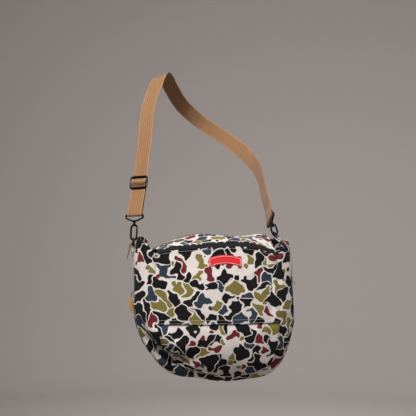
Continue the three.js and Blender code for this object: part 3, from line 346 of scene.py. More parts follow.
# Lights: name, place, aim, size, spread in degrees, the setting that powers it and its share of that
LIGHTS = (
    ("key", (-0.9, -2.0, 2.35), (0.1, -0.2, -0.45), 1.3, 80, "key", 1.0),
    ("fill", (2.0, -2.4, 0.6), (0.1, -0.15, -0.5), 2.2, 180, "fill", 1.0),
    ("top", (0.3, -0.6, 2.2), (0.1, -0.2, -0.5), 1.8, 180, "fill", 0.4),
    ("bounce", (0.3, -1.9, -1.25), (0.1, -0.2, -0.7), 1.2, 180, "fill", 0.4),
    ("rear", (1.0, 2.6, 1.2), (0.1, -0.2, -0.5), 1.6, 180, "rear", 1.0),
    ("wash", (0.5, 1.6, 0.9), (1.9, 5.0, 0.7), 1.5, 180, "wash", 1.0),
    ("front_wash", (0.2, -2.7, 1.7), (-0.6, -6.0, 1.0), 1.5, 180, "wash", 0.45),
    ("left_wash", (-1.9, -0.6, 1.3), (-5.5, -1.2, 0.7), 1.5, 180, "wash", 0.5),
    ("right_wash", (2.1, -0.9, 1.3), (5.5, -2.2, 0.7), 1.5, 180, "wash", 0.4),
)
SKY, SKY_STRENGTH = (0.9, 0.92, 1.0, 1), 0.3
# Floor: level out to its round, then curved up into a wall all the way round
FLOOR_Z, FLOOR_ROUND, FLOOR_RISE, FLOOR_SPAN, FLOOR_CELLS = -1.4, 3.6, 0.9, 13, 80
FLOOR_SPECK = (0.26, 0.25, 0.24, 1)


def unit(a):
    """Vectors of length one."""
    return a / np.maximum(np.linalg.norm(a, axis=-1, keepdims=True), 1e-12)


def turned(direction, toward):
    """A direction, reversed where it points away from another one."""
    return direction if np.sum(direction * toward) >= 0 else -direction


def across_from(direction, axis):
    """The part of a direction that stands square on an axis, at length one."""
    return unit(direction - axis * np.dot(direction, axis))


def lerp(a, b, t):
    """Straight mix of a and b."""
    return a + (b - a) * t


def smoothstep(x, a, b):
    """Smooth rise from 0 at a to 1 at b."""
    t = np.clip((x - a) / (b - a), 0, 1)
    return t * t * (3 - 2 * t)


def arched(t, power):
    """1 in the middle and 0 at both ends of t from 0 to 1, flatter with a higher power."""
    return 1 - np.abs(2 * t - 1) ** power


def squared(wave, power):
    """A sine or cosine pushed toward its ends by a power below 1, with its sign kept."""
    return np.sign(wave) * np.abs(wave) ** power


def stack(x, y, z):
    """Points from three arrays."""
    return np.stack(np.broadcast_arrays(x, y, z), axis=-1).astype(float)


def columns(table):
    """All columns of a table as arrays."""
    return [np.asarray(values, float) for values in table.values()]


def column(table, key, name, t):
    """Smooth value of one column of a table at key t: a cubic through the rows, with the ends held."""
    keys = np.asarray(table[key], float)
    values = np.asarray(table[name], float)
    t = np.asarray(t, float)
    last = len(keys) - 1
    i = np.searchsorted(keys[1:-1], t, side="left")
    span = keys[i + 1] - keys[i]
    f = np.clip((t - keys[i]) / span, 0, 1)
    before = np.maximum(np.arange(last + 1) - 1, 0)
    after = np.minimum(np.arange(last + 1) + 1, last)
    slope = (values[after] - values[before]) / (keys[after] - keys[before])
    f2, f3 = f * f, f * f * f
    return ((2 * f3 - 3 * f2 + 1) * values[i] + (f3 - 2 * f2 + f) * slope[i] * span
            + (3 * f2 - 2 * f3) * values[i + 1] + (f3 - f2) * slope[i + 1] * span)


def row(v):
    """All columns of the panel table at v."""
    return {name: column(PANEL, "v", name, v) for name in PANEL if name != "v"}


def mouth(u):
    """All columns of the mouth table at u."""
    return {name: column(MOUTH, "u", name, u) for name in MOUTH if name != "u"}


def ripple(a, b, seed):
    """Even, seeded unevenness in about -1 to 1: six plane waves, each turned on by the golden angle."""
    out = 0.0
    for k in range(RIPPLE_COUNT):
        turn = GOLDEN_ANGLE * (k + 1) + RIPPLE_TURN * seed
        pace = 2 * math.pi * (RIPPLE_PACE + RIPPLE_GROWTH * k)
        shift = RIPPLE_SHIFT * k + RIPPLE_SEED * seed
        out = out + np.sin(pace * (a * math.cos(turn) + b * math.sin(turn)) + shift)
    return out / RIPPLE_SCALE


def waves(piece, a, b):
    """Sum of the broad and fine ripples of one piece's cloth."""
    return sum(height * ripple(a / across, b / down, seed) for height, across, down, seed in WAVES[piece])


def folds(x, z):
    """Push of the folds into the cloth, and droop of the lip: a trough along the sag line with a flat floor
    below it and a roll above, and a bell-shaped dent for each soft fold."""
    xs, zs, ds = columns(SAG_FOLD)
    best = np.full(np.shape(x), np.inf)
    below = np.ones(np.shape(x))
    depth = np.zeros(np.shape(x))
    for i in range(len(xs) - 1):
        ax, az = xs[i + 1] - xs[i], zs[i + 1] - zs[i]
        f = np.clip(((x - xs[i]) * ax + (z - zs[i]) * az) / (ax * ax + az * az), 0, 1)
        dx, dz = x - xs[i] - f * ax, z - zs[i] - f * az
        distance = np.hypot(dx, dz)
        nearer = distance < best
        best = np.where(nearer, distance, best)
        below = np.where(nearer, np.where(ax * dz - az * dx < 0, 1, -1), below)
        depth = np.where(nearer, lerp(ds[i], ds[i + 1], f), depth)
    height = -below * best
    floor = 1 - smoothstep(best, SAG_FLOOR, SAG_BELOW)
    wall = np.where(below < 0, np.exp(-((best / SAG_ABOVE) ** 2)), floor)
    roll = np.exp(-(((height - SAG_ROLL) / SAG_ROLL_WIDTH) ** 2))
    push = depth * (wall - SAG_ROLL_SHARE * roll)
    droop = SAG_DROOP * depth * np.exp(-(((height - SAG_LIP) / SAG_LIP) ** 2))
    for fold_x, fold_z, half_height, half_width, dent in zip(*SOFT_FOLDS.values()):
        push = push + dent * np.exp(-((x - fold_x) / half_width) ** 2 - ((z - fold_z) / half_height) ** 2)
    return push, droop


def seam_xz(u, v, top_z):
    """Row, x and z of a panel point: straight rows between the seams, arched at the top, sagging below."""
    r, first = row(v), row(0.0)
    x = lerp(r["left_x"], r["right_x"], u)
    straight = lerp(r["left_z"], r["right_z"], u)
    arch = top_z - lerp(first["left_z"], first["right_z"], u)
    fade = np.maximum(0, 1 - v / HEM_V) ** 2
    return r, x, straight + arch * fade - BOTTOM_SAG * np.sin(np.pi * u) * v ** 4


def plain_front(u, v):
    """Front surface without its small relief: a table of rows, crowned across, pushed back by the folds."""
    r, x, z = seam_xz(u, v, mouth(u)["zip_z"])
    y = lerp(r["front_edge_y"], r["front_y"], arched(u, FRONT_ROUND))
    push, droop = folds(x, z)
    return stack(x, y + push, z - droop)


def wrinkles(x, z, u, v, amount):
    """Small relief of the front: waves, pull lines that fan out below the ears, puckers along the seams."""
    out = waves("front", x, z)
    for x0, z0, heading, width, reach, height in zip(*PULL_LINES.values()):
        c, s = math.cos(math.radians(heading)), math.sin(math.radians(heading))
        along = (x - x0) * c + (z - z0) * s
        off = ((x - x0) * -s + (z - z0) * c) / (width * (PULL_SPREAD + np.abs(along) / reach))
        fade = np.exp(-(along / reach) ** 2) * smoothstep(along, *PULL_START)
        out = out - height * fade * np.exp(-off ** 2) * np.cos(PULL_WAVE * off)
    near_zip = np.exp(-v / ZIP_PUCKER)
    near_hem = np.exp(-(((v - HEM_V + HEM_PUCKER_UP) / HEM_PUCKER) ** 2))
    near_bottom = np.exp(-((1 - v) / BOTTOM_PUCKER)) * smoothstep(1 - v, 0.0, BOTTOM_CALM)
    jitter = waves("seam", x, z)
    for (height, pitch, drift), near in zip(PUCKERS, (near_zip, near_hem, near_bottom)):
        out = out + height * np.sin(2 * np.pi * x / pitch + drift * jitter) * near
    return amount * out * arched(u, SIDE_CALM)


def front(u, v, amount=1.0):
    """Finished front surface: the plain one with its small relief."""
    p = plain_front(u, v)
    p[..., 1] += wrinkles(p[..., 0], p[..., 2], u, v, amount)
    return p


def lap_under(v):
    """How far the lower panel is tucked in behind the hem, 0 to 1."""
    rise = smoothstep(v, HEM_V - HEM_LAP_V - HEM_EASE, HEM_V - HEM_LAP_V)
    return rise * (1 - smoothstep(v, HEM_V + HEM_LAP_V / 3, HEM_V + HEM_EASE))


def back(u, v):
    """Back surface: the panel rows, crowned a little, up to the ridge, with waves that fade at its edges."""
    r, x, z = seam_xz(u, v, mouth(u)["ridge_z"] - CLOTH - RIDGE_STEP)
    calm = arched(u, SIDE_CALM) * smoothstep(v, 0, BACK_CALM_TOP) * smoothstep(1 - v, 0, BACK_CALM_BOTTOM)
    y = lerp(r["back_edge_y"], r["back_y"], arched(u, FRONT_ROUND))
    return stack(x, y - calm * waves("back", x, z), z)


def seam_middle(s):
    """Path of the gusset: down the left side seam, along the bottom, up the right side seam."""
    s = np.clip(np.asarray(s, float), 0, 1)
    low, high = s < SIDE_SHARE, s > 1 - SIDE_SHARE
    u = np.where(low, 0, np.where(high, 1, (s - SIDE_SHARE) / (1 - 2 * SIDE_SHARE)))
    v = np.where(low, s / SIDE_SHARE, np.where(high, (1 - s) / SIDE_SHARE, 1))
    first = row(0.0)
    r, x, z = seam_xz(u, v, lerp(first["left_z"], first["right_z"], u))
    return {"x": x, "z": z, "r": r, "u": u, "v": v}


def gusset_out(s):
    """Outward direction of the gusset in the XZ plane."""
    a, b = seam_middle(s - SEAM_STRIDE), seam_middle(s + SEAM_STRIDE)
    return unit(stack(b["z"] - a["z"], 0 * a["x"], a["x"] - b["x"]))


def gusset(s, w, amount=0.0):
    """Gusset surface: the seam path spread from front to back, bulged outward, lifted into ears at its ends.
    With an amount it also has its waves, the sag fold's way round the side and the right ear's rear half."""
    s, w = np.broadcast_arrays(np.asarray(s, float), np.asarray(w, float))
    mid = seam_middle(s)
    r = mid["r"]
    left = mid["u"] < 0.5
    rise, lean = (np.where(left, column(EARS, "w", f"left_{n}", w), column(EARS, "w", f"right_{n}", w))
                  for n in ("rise", "lean"))
    rounded = arched(mid["u"], FRONT_ROUND)
    y0 = lerp(r["front_edge_y"], r["front_y"], rounded) + SEAM_STEP + LAP_STEP * lap_under(mid["v"])
    y1 = lerp(r["back_edge_y"], r["back_y"], rounded) - SEAM_STEP
    out = gusset_out(s)
    p = stack(mid["x"], lerp(y0, y1, w), mid["z"]) + out * (r["bulge"] * arched(w, GUSSET_ROUND))[..., None]
    push, droop = folds(p[..., 0], p[..., 2])
    p[..., 1] += push * (1 - w) ** 2
    lift = np.maximum(0, 1 - mid["v"] / EAR_V) ** 2 * ((mid["u"] == 0) | (mid["u"] == 1))
    p[..., 2] += lift * rise
    p[..., 0] += lift * lift * np.where(left, lean, -lean)
    if amount:
        calm = arched(w, GUSSET_CALM) * smoothstep(mid["v"], *EAR_CALM)
        relief = amount * calm * waves("gusset", p[..., 1], p[..., 2] + GUSSET_SLANT * p[..., 0])
        inward_fold = push * smoothstep(w, *SIDE_FOLD_IN) * (1 - smoothstep(w, *SIDE_FOLD_OUT))
        p = p + out * (relief - SIDE_FOLD * inward_fold)[..., None]
        p[..., 2] -= droop * (1 - smoothstep(w, *SIDE_DROOP_OUT))
        stand = lift * ~left * np.exp(-((w - REAR_EAR["w"]) / REAR_EAR["width"]) ** 2)
        p = p + stack(REAR_EAR["out"] * stand, 0, REAR_EAR["up"] * stand)
    return p


def zip_point(u, t):
    """Zip face: the arched mouth, t from its lower to its upper edge."""
    m, edge = mouth(u), front(u, np.zeros_like(u))
    return stack(edge[..., 0], edge[..., 1] + ZIP_INSET, m["zip_z"] + GAP + SEAT + t * (m["zip_h"] - GAP))


def top_point(a, q):
    """Cloth from the zip back to the ridge: straight lines, crowned by half a sine and rippled."""
    u = lerp(TOP_END, 1 - TOP_END, a)
    m, edge = mouth(u), plain_front(u, np.zeros_like(u))
    z0 = m["zip_z"] + m["zip_h"] + GAP + SEAT + CLOTH
    crest = np.sin(np.pi * q)
    relief = crest * np.sin(np.pi * a) ** 0.5 * waves("top", edge[..., 0], q)
    y = lerp(edge[..., 1] + TOP_INSET, RIDGE_Y, q)
    return stack(edge[..., 0], y, lerp(z0, m["ridge_z"], q) + TOP_CROWN * crest + relief)


def front_at(x, z):
    """Point of the upper front at a given x and z, found by halving v."""
    low, high = np.zeros_like(x), np.full_like(x, HEM_V)
    for _ in range(HALVINGS):
        v = (low + high) / 2
        r = row(v)
        u = (x - r["left_x"]) / (r["right_x"] - r["left_x"])
        above = plain_front(u, v)[..., 2] > z
        low, high = np.where(above, v, low), np.where(above, high, v)
    return front(u, low)


def label_point(a, b, lift):
    """Arched patch on the front: a across, b down, lifted off the cloth."""
    x = LABEL_X + LABEL_W * (a - 0.5)
    z = LABEL_Z + LABEL_RISE * (0.5 - (2 * a - 1) ** 2) + LABEL_H * (0.5 - b)
    p = front_at(x, z)
    p[..., 1] -= lift
    return p


def grid(across, down):
    """Two arrays of parameters from 0 to 1: across the columns and down the rows."""
    return np.meshgrid(np.linspace(0, 1, across + 1), np.linspace(0, 1, down + 1))


def normals(p):
    """Normals of a grid of points, turned away from the bag's middle."""
    return turned(unit(np.cross(np.gradient(p, axis=1), np.gradient(p, axis=0))), p - BAG_MIDDLE)


def arc_lengths(p, axis):
    """Running length along one axis of a grid or line of points."""
    step = np.linalg.norm(np.diff(p, axis=axis), axis=-1)
    pad = [(1, 0) if k == axis else (0, 0) for k in range(step.ndim)]
    return np.pad(np.cumsum(step, axis=axis), pad)


def cells(idx):
    """Four-cornered faces of grids of point numbers."""
    corners = [idx[..., :-1, :-1], idx[..., :-1, 1:], idx[..., 1:, 1:], idx[..., 1:, :-1]]
    return np.stack(corners, axis=-1).reshape(-1, 4)


def tube(shape, closed=False):
    """Point numbers of rows of rings, and their faces, closed round each ring and, if asked, end to end."""
    idx = np.arange(np.prod(shape)).reshape(shape)
    pad = [(0, 0)] * (idx.ndim - 2) + [(0, int(closed)), (0, 1)]
    return idx, cells(np.pad(idx, pad, mode="wrap"))


def make(name, verts, quads, material, nodes=(), body="bag", bag=True, uv=None, tris=None,
         loop_uv=None):
    """Object from arrays of points and faces, turned outward by the sign of its volume, riding on a body."""
    verts = (np.asarray(verts, float).reshape(-1, 3) + (BAG_AT if bag else 0)) * MM
    a, b, c, d = (verts[quads[:, k]] for k in range(4))
    if np.sum(a * (np.cross(b, c) + np.cross(c, d))) < 0:
        quads = quads[:, ::-1]
        loop_uv = None if loop_uv is None else loop_uv[:, ::-1]
        tris = None if tris is None else tris[:, ::-1]
    mesh = bpy.data.meshes.new(name)
    mesh.from_pydata(verts.tolist(), [], quads.tolist() + ([] if tris is None else tris.tolist()))
    mesh.shade_smooth()
    if uv is not None or loop_uv is not None:
        corner = np.empty(len(mesh.loops), dtype=np.int32)
        mesh.loops.foreach_get("vertex_index", corner)
        data = uv.reshape(-1, 2)[corner] if loop_uv is None else loop_uv.reshape(-1, 2)
        layer = mesh.uv_layers.new(name="print")
        layer.uv.foreach_set("vector", np.ascontiguousarray(data * MM, dtype=np.float32).ravel())
    mesh.materials.append(material)
    obj = bpy.data.objects.new(name, mesh)
    bpy.context.scene.collection.objects.link(obj)
    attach(obj, body)
    if nodes:
        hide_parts(*nodes)
    return obj


def shell(name, outer, inner, uv, material, nodes, uv_right=None):
    """Closed cloth: an outer and an inner grid of points, joined by a rim with a soft middle line. Where a
    second print is given, the right half of the columns takes it."""
    h, w = outer.shape[:2]
    idx = np.arange(h * w).reshape(h, w)
    face = cells(idx)
    border = np.concatenate([idx[0, :-1], idx[:-1, -1], idx[-1, :0:-1], idx[:0:-1, 0]])
    rows, cols = np.divmod(border, w)
    inside = idx[np.clip(rows, 1, h - 2), np.clip(cols, 1, w - 2)]
    flat_out, flat_in = outer.reshape(-1, 3), inner.reshape(-1, 3)
    edge_out, edge_in = flat_out[border], flat_in[border]
    thick = np.linalg.norm(edge_out - edge_in, axis=-1, keepdims=True)
    rim = (edge_out + edge_in) / 2 + unit(edge_out - flat_out[inside]) * RIM_ROUND * thick
    verts = np.concatenate([flat_out, flat_in, rim])
    b, m, n = border, 2 * h * w + np.arange(len(border)), border + h * w
    nb, nm, nn = (np.roll(line, -1) for line in (b, m, n))
    quads = np.concatenate([face, face[:, ::-1] + h * w,
                            np.stack([nb, b, m, nm], axis=-1), np.stack([nm, m, n, nn], axis=-1)])

    def both_faces(values):
        flat = values.reshape(-1, 2)
        return np.concatenate([flat, flat, flat[border]])

    if uv_right is None:
        return make(name, verts, quads, material, nodes, uv=both_faces(uv))
    col = np.concatenate([np.tile(np.arange(w), h)] * 2 + [cols])
    on_right = (col[quads].mean(axis=1) > (w - 1) // 2)[:, None, None]
    loop_uv = np.where(on_right, both_faces(uv_right)[quads], both_faces(uv)[quads])
    return make(name, verts, quads, material, nodes, loop_uv=loop_uv)


def canvas_shell(name, outer, uv, material, node, uv_right=None):
    """Piece of canvas: a grid of points with the cloth's thickness behind it."""
    return shell(name, outer, outer - normals(outer) * CLOTH, uv, material, [node], uv_right)


def sweep(name, path, side, profile, material, nodes=(), body="bag", closed=False, bag=True,
          scale=None):
    """Profile along a path: each station spans the side direction and its normal, with flat open ends."""
    n, k = len(path), len(profile)
    if closed:
        along = unit(np.roll(path, -1, axis=0) - np.roll(path, 1, axis=0))
    else:
        along = unit(np.gradient(path, axis=0))
    side = unit(side - along * np.sum(side * along, axis=-1, keepdims=True))
    up = np.cross(along, side)
    scale = np.ones(n) if scale is None else scale
    ring = (profile[None, :, :1] * side[:, None] + profile[None, :, 1:] * up[:, None]) * scale[:, None, None]
    verts = (path[:, None] + ring).reshape(-1, 3)
    idx, quads = tube((n, k), closed)
    run = arc_lengths(path, 0)
    uv = np.stack(np.broadcast_arrays(profile[None, :, 0], run[:, None]), axis=-1).reshape(-1, 2)
    tris = None
    if not closed:
        verts = np.concatenate([verts, path[:1], path[-1:]])
        uv = np.concatenate([uv, [[0, run[0]], [0, run[-1]]]])
        first = np.stack([np.roll(idx[0], -1), idx[0], np.full(k, n * k)], axis=-1)
        final = np.stack([idx[-1], np.roll(idx[-1], -1), np.full(k, n * k + 1)], axis=-1)
        tris = np.concatenate([first, final])
    return make(name, verts, quads, material, nodes, body, bag, uv, tris)


def circle(radius, sides=WIRE_SIDES):
    """Round profile."""
    t = np.linspace(0, 2 * np.pi, sides, endpoint=False)
    return np.stack([np.cos(t), np.sin(t)], axis=-1) * radius


def flat_profile(width, thick, sides=FLAT_SIDES):
    """Flat profile with rounded edges: a squared-off oval."""
    t = np.linspace(0, 2 * np.pi, sides, endpoint=False) + np.pi / sides
    x, y = squared(np.cos(t), FLAT_EDGE), squared(np.sin(t), FLAT_FACE)
    return np.stack([x * width / 2, y * thick / 2], axis=-1)


def curve_through(points, count, closed=False):
    """Smooth line of count points through given points: a cubic by the root of the chord, evenly spaced."""
    p = np.asarray(points, float)
    if closed:
        p = np.concatenate([p[-3:], p, p[:4]])
    chord = np.concatenate([[0], np.cumsum(np.linalg.norm(np.diff(p, axis=0), axis=1) ** 0.5)])
    table = {"k": chord, "x": p[:, 0], "y": p[:, 1], "z": p[:, 2]}
    first, final = (chord[3], chord[-4]) if closed else (chord[0], chord[-1])
    k = np.linspace(first, final, CURVE_FINE * count)
    fine = stack(*(column(table, "k", n, k) for n in "xyz"))
    run = arc_lengths(fine, 0)
    return along_line(np.linspace(0, run[-1], count, endpoint=not closed), run, fine)


def along_line(at, run, values):
    """Points or directions of a line at given running lengths."""
    return stack(*(np.interp(at, run, values[:, i]) for i in range(3)))


def arc(center, a, b, radius, start, stop, steps):
    """Points on a flat arc in the plane of two directions, angles in degrees."""
    t = np.radians(np.linspace(start, stop, steps + 1))[:, None]
    return center + radius * (np.cos(t) * a + np.sin(t) * b)


def stitches(name, path, facing, material):
    """Row of sewn stitches: short threads along a line that dive into the cloth at both ends."""
    run = arc_lengths(path, 0)
    count = int(run[-1] / STITCH_PITCH)
    t = np.linspace(-0.5, 0.5, STITCH_RINGS)
    p = along_line((np.arange(count)[:, None] + 0.5) * STITCH_PITCH + t * STITCH_LONG, run, path)
    n = np.broadcast_to(unit(facing), p.shape)
    side = unit(np.cross(unit(np.gradient(p, axis=1)), n))
    p = p + n * (STITCH_R * (STITCH_LIFT - STITCH_DIVE * t ** 2))[None, :, None]
    around = np.linspace(0, 2 * np.pi, STITCH_SIDES, endpoint=False)
    ring = np.cos(around)[:, None] * side[:, :, None] + np.sin(around)[:, None] * n[:, :, None]
    girth = STITCH_R * np.sqrt(np.clip(1 - (STITCH_TAPER * t) ** 4, STITCH_TIP, 1))
    verts = p[:, :, None] + ring * girth[None, :, None, None]
    idx, quads = tube((count, STITCH_RINGS, STITCH_SIDES))
    ends = np.concatenate([idx[:, 0, [0, 3, 2, 1]], idx[:, 0, [0, 5, 4, 3]],
                           idx[:, -1, [0, 1, 2, 3]], idx[:, -1, [0, 3, 4, 5]]])
    return make(name, verts, np.concatenate([quads, ends]), material)


class Nodes:
    """Shader nodes of one material."""

    def __init__(self, name):
        self.material = bpy.data.materials.new(name)
        self.material.use_nodes = True
        self.tree = self.material.node_tree
        self.shader = self.tree.nodes["Principled BSDF"]

    def add(self, kind, inputs=(), **props):
        """New node with its properties and inputs."""
        node = self.tree.nodes.new(kind)
        for key, value in props.items():
            setattr(node, key, value)
        for socket, value in dict(inputs).items():
            self.put(node.inputs[socket], value)
        return node

    def put(self, socket, value):
        """Sets a socket, or links it where the value is another socket."""
        if isinstance(value, bpy.types.NodeSocket):
            self.tree.links.new(value, socket)
        else:
            socket.default_value = value

    def set(self, **values):
        """Sets or links the shader's own sockets."""
        for key, value in values.items():
            self.put(self.shader.inputs[key.replace("_", " ")], value)

    def spot(self):
        """Place on the object, in metres."""
        return self.add("ShaderNodeTexCoord").outputs["Object"]

    def print_place(self):
        """Place on the flat cloth, in metres."""
        return self.add("ShaderNodeUVMap", uv_map="print").outputs[0]

    def axes(self, vector):
        """The three numbers of a vector."""
        return self.add("ShaderNodeSeparateXYZ", {0: vector}).outputs

    def math(self, operation, a, b=0.0, c=0.0):
        """Number worked out from up to three others."""
        return self.add("ShaderNodeMath", {0: a, 1: b, 2: c}, operation=operation).outputs[0]

    def vector(self, operation, a, b=(0, 0, 0)):
        """Vector worked out from two others."""
        return self.add("ShaderNodeVectorMath", {0: a, 1: b}, operation=operation).outputs[0]

    def wave(self, value, length):
        """Sine wave of a place, with its wave length."""
        return self.math("SINE", self.math("MULTIPLY", value, 2 * math.pi / length))

    def step(self, value, a, b, low=0.0, high=1.0):
        """Smooth change from low at a to high at b."""
        inputs = {0: value, 1: a, 2: b, 3: low, 4: high}
        return self.add("ShaderNodeMapRange", inputs, interpolation_type="SMOOTHSTEP").outputs[0]

    def mix(self, factor, a, b, blend="MIX"):
        """Mix of two colours."""
        inputs = {0: factor, 6: a, 7: b}
        return self.add("ShaderNodeMix", data_type="RGBA", blend_type=blend, inputs=inputs).outputs[2]

    def noise(self, vector, scale, detail=2.0, rough=0.5, output="Fac"):
        """Smooth noise."""
        inputs = {"Vector": vector, "Scale": scale, "Detail": detail, "Roughness": rough}
        return self.add("ShaderNodeTexNoise", inputs).outputs[output]

    def bump(self, height, strength, distance):
        """Bump on the shader's normal."""
        node = self.add("ShaderNodeBump", {"Height": height, "Strength": strength, "Distance": distance})
        self.put(self.shader.inputs["Normal"], node.outputs[0])


def rgb(r, g, b):
    """Linear colour from display values 0 to 255."""
    c = [x / 255 for x in (r, g, b)]
    return tuple(x / 12.92 if x < 0.04045 else ((x + 0.055) / 1.055) ** 2.4 for x in c) + (1.0,)


def tones(name):
    """Light and dark tone of a finish."""
    return [rgb(*tone) for tone in TONES[name]]


def picked(n, chance, table, settings):
    """One row of a print table for each cell, by its own chance: the dye, and the size in the alpha."""
    ramp = n.add("ShaderNodeValToRGB", {0: chance})
    ramp.color_ramp.interpolation = "CONSTANT"
    stops = ramp.color_ramp.elements
    start = 0.0
    for k, (dye, share, size) in enumerate(zip(*table.values())):
        stop = stops[k] if k < 2 else stops.new(start)
        stop.position = start
        stop.color = tuple(getattr(settings, dye)) + (size,)
        start += share
    return ramp.outputs


def blob_field(n, at, settings):
    """Distance in metres from the edge of the nearest large blob, negative inside, and the blob's dye."""
    place = {"Vector": at, "Scale": 1 / PRINT_CELL, "Randomness": PRINT_LOOSE}
    cell = n.add("ShaderNodeTexVoronoi", place, voronoi_dimensions="2D", feature="F1").outputs
    edges = n.add("ShaderNodeTexVoronoi", place, voronoi_dimensions="2D", feature="DISTANCE_TO_EDGE").outputs
    chance = n.add("ShaderNodeSeparateColor", {0: cell["Color"]}).outputs
    number = n.vector("FLOOR", n.vector("DIVIDE", cell["Position"], (PRINT_CELL, PRINT_CELL, 1)))
    spread = n.add("ShaderNodeVectorMath", {0: number, 1: PRINT_SPREAD}, operation="DOT_PRODUCT")
    order = n.math("FRACT", n.math("MULTIPLY_ADD", chance[0], PRINT_STRAY, spread.outputs["Value"]))
    dye, size = picked(n, order, PRINT_BLOBS, settings)
    size = n.math("MULTIPLY", size, n.math("MULTIPLY_ADD", chance[1], BLOB_MORE, BLOB_LEAST))
    away = n.math("MULTIPLY", n.math("SUBTRACT", cell["Distance"], size), PRINT_CELL)
    rim = n.math("MULTIPLY_ADD", edges["Distance"], -PRINT_CELL, PRINT_LINE / 2)
    return n.math("SMOOTH_MAX", away, rim, PRINT_SOFT), dye


def warp(n, at, pace, reach):
    """Places shifted by smooth noise, by up to half the reach each way."""
    shift = n.vector("MULTIPLY_ADD", n.noise(at, pace, 0.0, output="Color"), (reach, reach, 0))
    shift.node.inputs[2].default_value = (-reach / 2, -reach / 2, 0)
    return n.vector("ADD", at, shift)


def canvas_material(name, settings):
    """Printed canvas: warped cells hold one blob each with a pale line round it, small spots fill wide gaps,
    and crossed yarns with thick and thin places show in tone and bump."""
    n = Nodes(name)
    uv = n.vector("SCALE", n.print_place())
    uv.node.inputs["Scale"].default_value = 1 / settings.print_scale
    ragged = warp(n, uv, *EDGE_WARP)
    ground = tuple(settings.ground) + (1.0,)
    field, dye = blob_field(n, warp(n, ragged, *BLOB_WARP), settings)
    colour = n.mix(n.step(field, -PRINT_EDGE, PRINT_EDGE, 1.0, 0.0), ground, dye)
    spots = n.add("ShaderNodeTexVoronoi", {"Vector": ragged, "Scale": 1 / SPOT_CELL, "Randomness": 1.0},
                  voronoi_dimensions="2D", feature="F1").outputs
    room, _ = blob_field(n, warp(n, spots["Position"], *BLOB_WARP), settings)
    chance = n.add("ShaderNodeSeparateColor", {0: spots["Color"]}).outputs
    dye, _ = picked(n, chance[0], PRINT_SPOTS, settings)
    radius = n.math("MULTIPLY_ADD", chance[1], SPOT_MORE, SPOT_LEAST)
    away = n.math("SUBTRACT", n.math("MULTIPLY", spots["Distance"], SPOT_CELL), radius)
    spot = n.math("MULTIPLY", n.step(away, -PRINT_EDGE, PRINT_EDGE, 1.0, 0.0),
                  n.math("GREATER_THAN", room, SPOT_ROOM))
    colour = n.mix(spot, colour, dye)
    across, down, _ = n.axes(uv)
    weave = n.math("MULTIPLY", n.wave(across, settings.yarn), n.wave(down, settings.yarn))
    slub = n.noise(uv, 420.0, 3.0, 0.6)
    mottle = n.noise(uv, 16.0)
    shade = n.math("MULTIPLY_ADD", slub, 0.16, 0.87)
    shade = n.math("MULTIPLY_ADD", mottle, 0.1, shade)
    shade = n.math("MULTIPLY_ADD", weave, 0.05, shade)
    tone = n.add("ShaderNodeCombineColor", {0: shade, 1: shade, 2: shade}).outputs[0]
    n.set(Base_Color=n.mix(1.0, colour, tone, "MULTIPLY"), Roughness=1.0, Specular_IOR_Level=0.05)
    n.set(Sheen_Weight=0.05, Sheen_Roughness=0.5)
    n.bump(n.math("MULTIPLY_ADD", slub, 0.8, weave), 0.55, 0.00022)
    return n.material


def webbing_material(name):
    """Tan cotton webbing: ribs across with a chevron, yarns and stripes down the length, darker between the
    yarns, worn paler in places, with a plain selvedge."""
    n = Nodes(name)
    dark, light, pale, selvedge = (rgb(*tone) for tone in WEB_TONES.values())
    across, along, _ = n.axes(n.print_place())
    chevron = n.math("PINGPONG", n.math("ADD", across, 0.02), WEB_CHEVRON)
    rib = n.wave(n.math("ADD", along, chevron), WEB_RIB)
    relief = n.math("MULTIPLY_ADD", n.wave(across, WEB_YARN), 0.45, rib)
    relief = n.math("MULTIPLY_ADD", n.wave(across, WEB_STRIPE), 0.5, relief)
    spot = n.spot()
    fuzz = n.noise(spot, 900.0, 3.0, 0.6)
    worn = n.step(n.noise(spot, 18.0), 0.45, 0.75, 0.0, 0.25)
    tone = n.step(n.math("MULTIPLY_ADD", fuzz, 0.9, n.math("MULTIPLY", relief, 0.35)), -0.2, 1.1)
    edge = n.step(n.math("ABSOLUTE", across), *SELVEDGE, 0.0, 0.45)
    n.set(Base_Color=n.mix(edge, n.mix(worn, n.mix(tone, dark, light), pale), selvedge), Roughness=0.82)
    n.set(Sheen_Weight=0.15, Sheen_Roughness=0.45)
    n.bump(n.math("MULTIPLY_ADD", fuzz, 0.6, relief), 0.6, 0.0003)
    return n.material


def metal_material(name):
    """Black painted metal: satin, with a fine grain and faint rubbed patches."""
    n = Nodes(name)
    spot = n.spot()
    grain = n.noise(spot, 1400.0)
    rubbed = n.step(n.noise(spot, 160.0, 4.0, 0.65), 0.58, 0.72)
    rough = n.math("MULTIPLY_ADD", rubbed, -0.08, n.math("MULTIPLY_ADD", grain, 0.12, 0.28))
    n.set(Base_Color=n.mix(rubbed, METAL_PAINT, METAL_RUBBED), Metallic=0.85, Roughness=rough)
    n.bump(grain, 0.12, 0.0001)
    return n.material


def leather_material(name):
    """Leather: pebbled grain, darker in its pores, a little shine."""
    n = Nodes(name)
    light, dark = tones(name)
    spot = n.spot()
    pores = n.add("ShaderNodeTexVoronoi", {"Vector": spot, "Scale": 1300.0}).outputs["Distance"]
    patch = n.noise(spot, 140.0, 3.0)
    tone = n.math("MULTIPLY_ADD", patch, 0.7, n.math("MULTIPLY", pores, 0.3))
    n.set(Base_Color=n.mix(tone, dark, light), Roughness=n.math("MULTIPLY_ADD", patch, 0.2, 0.42))
    n.bump(pores, 0.3, 0.0002)
    return n.material


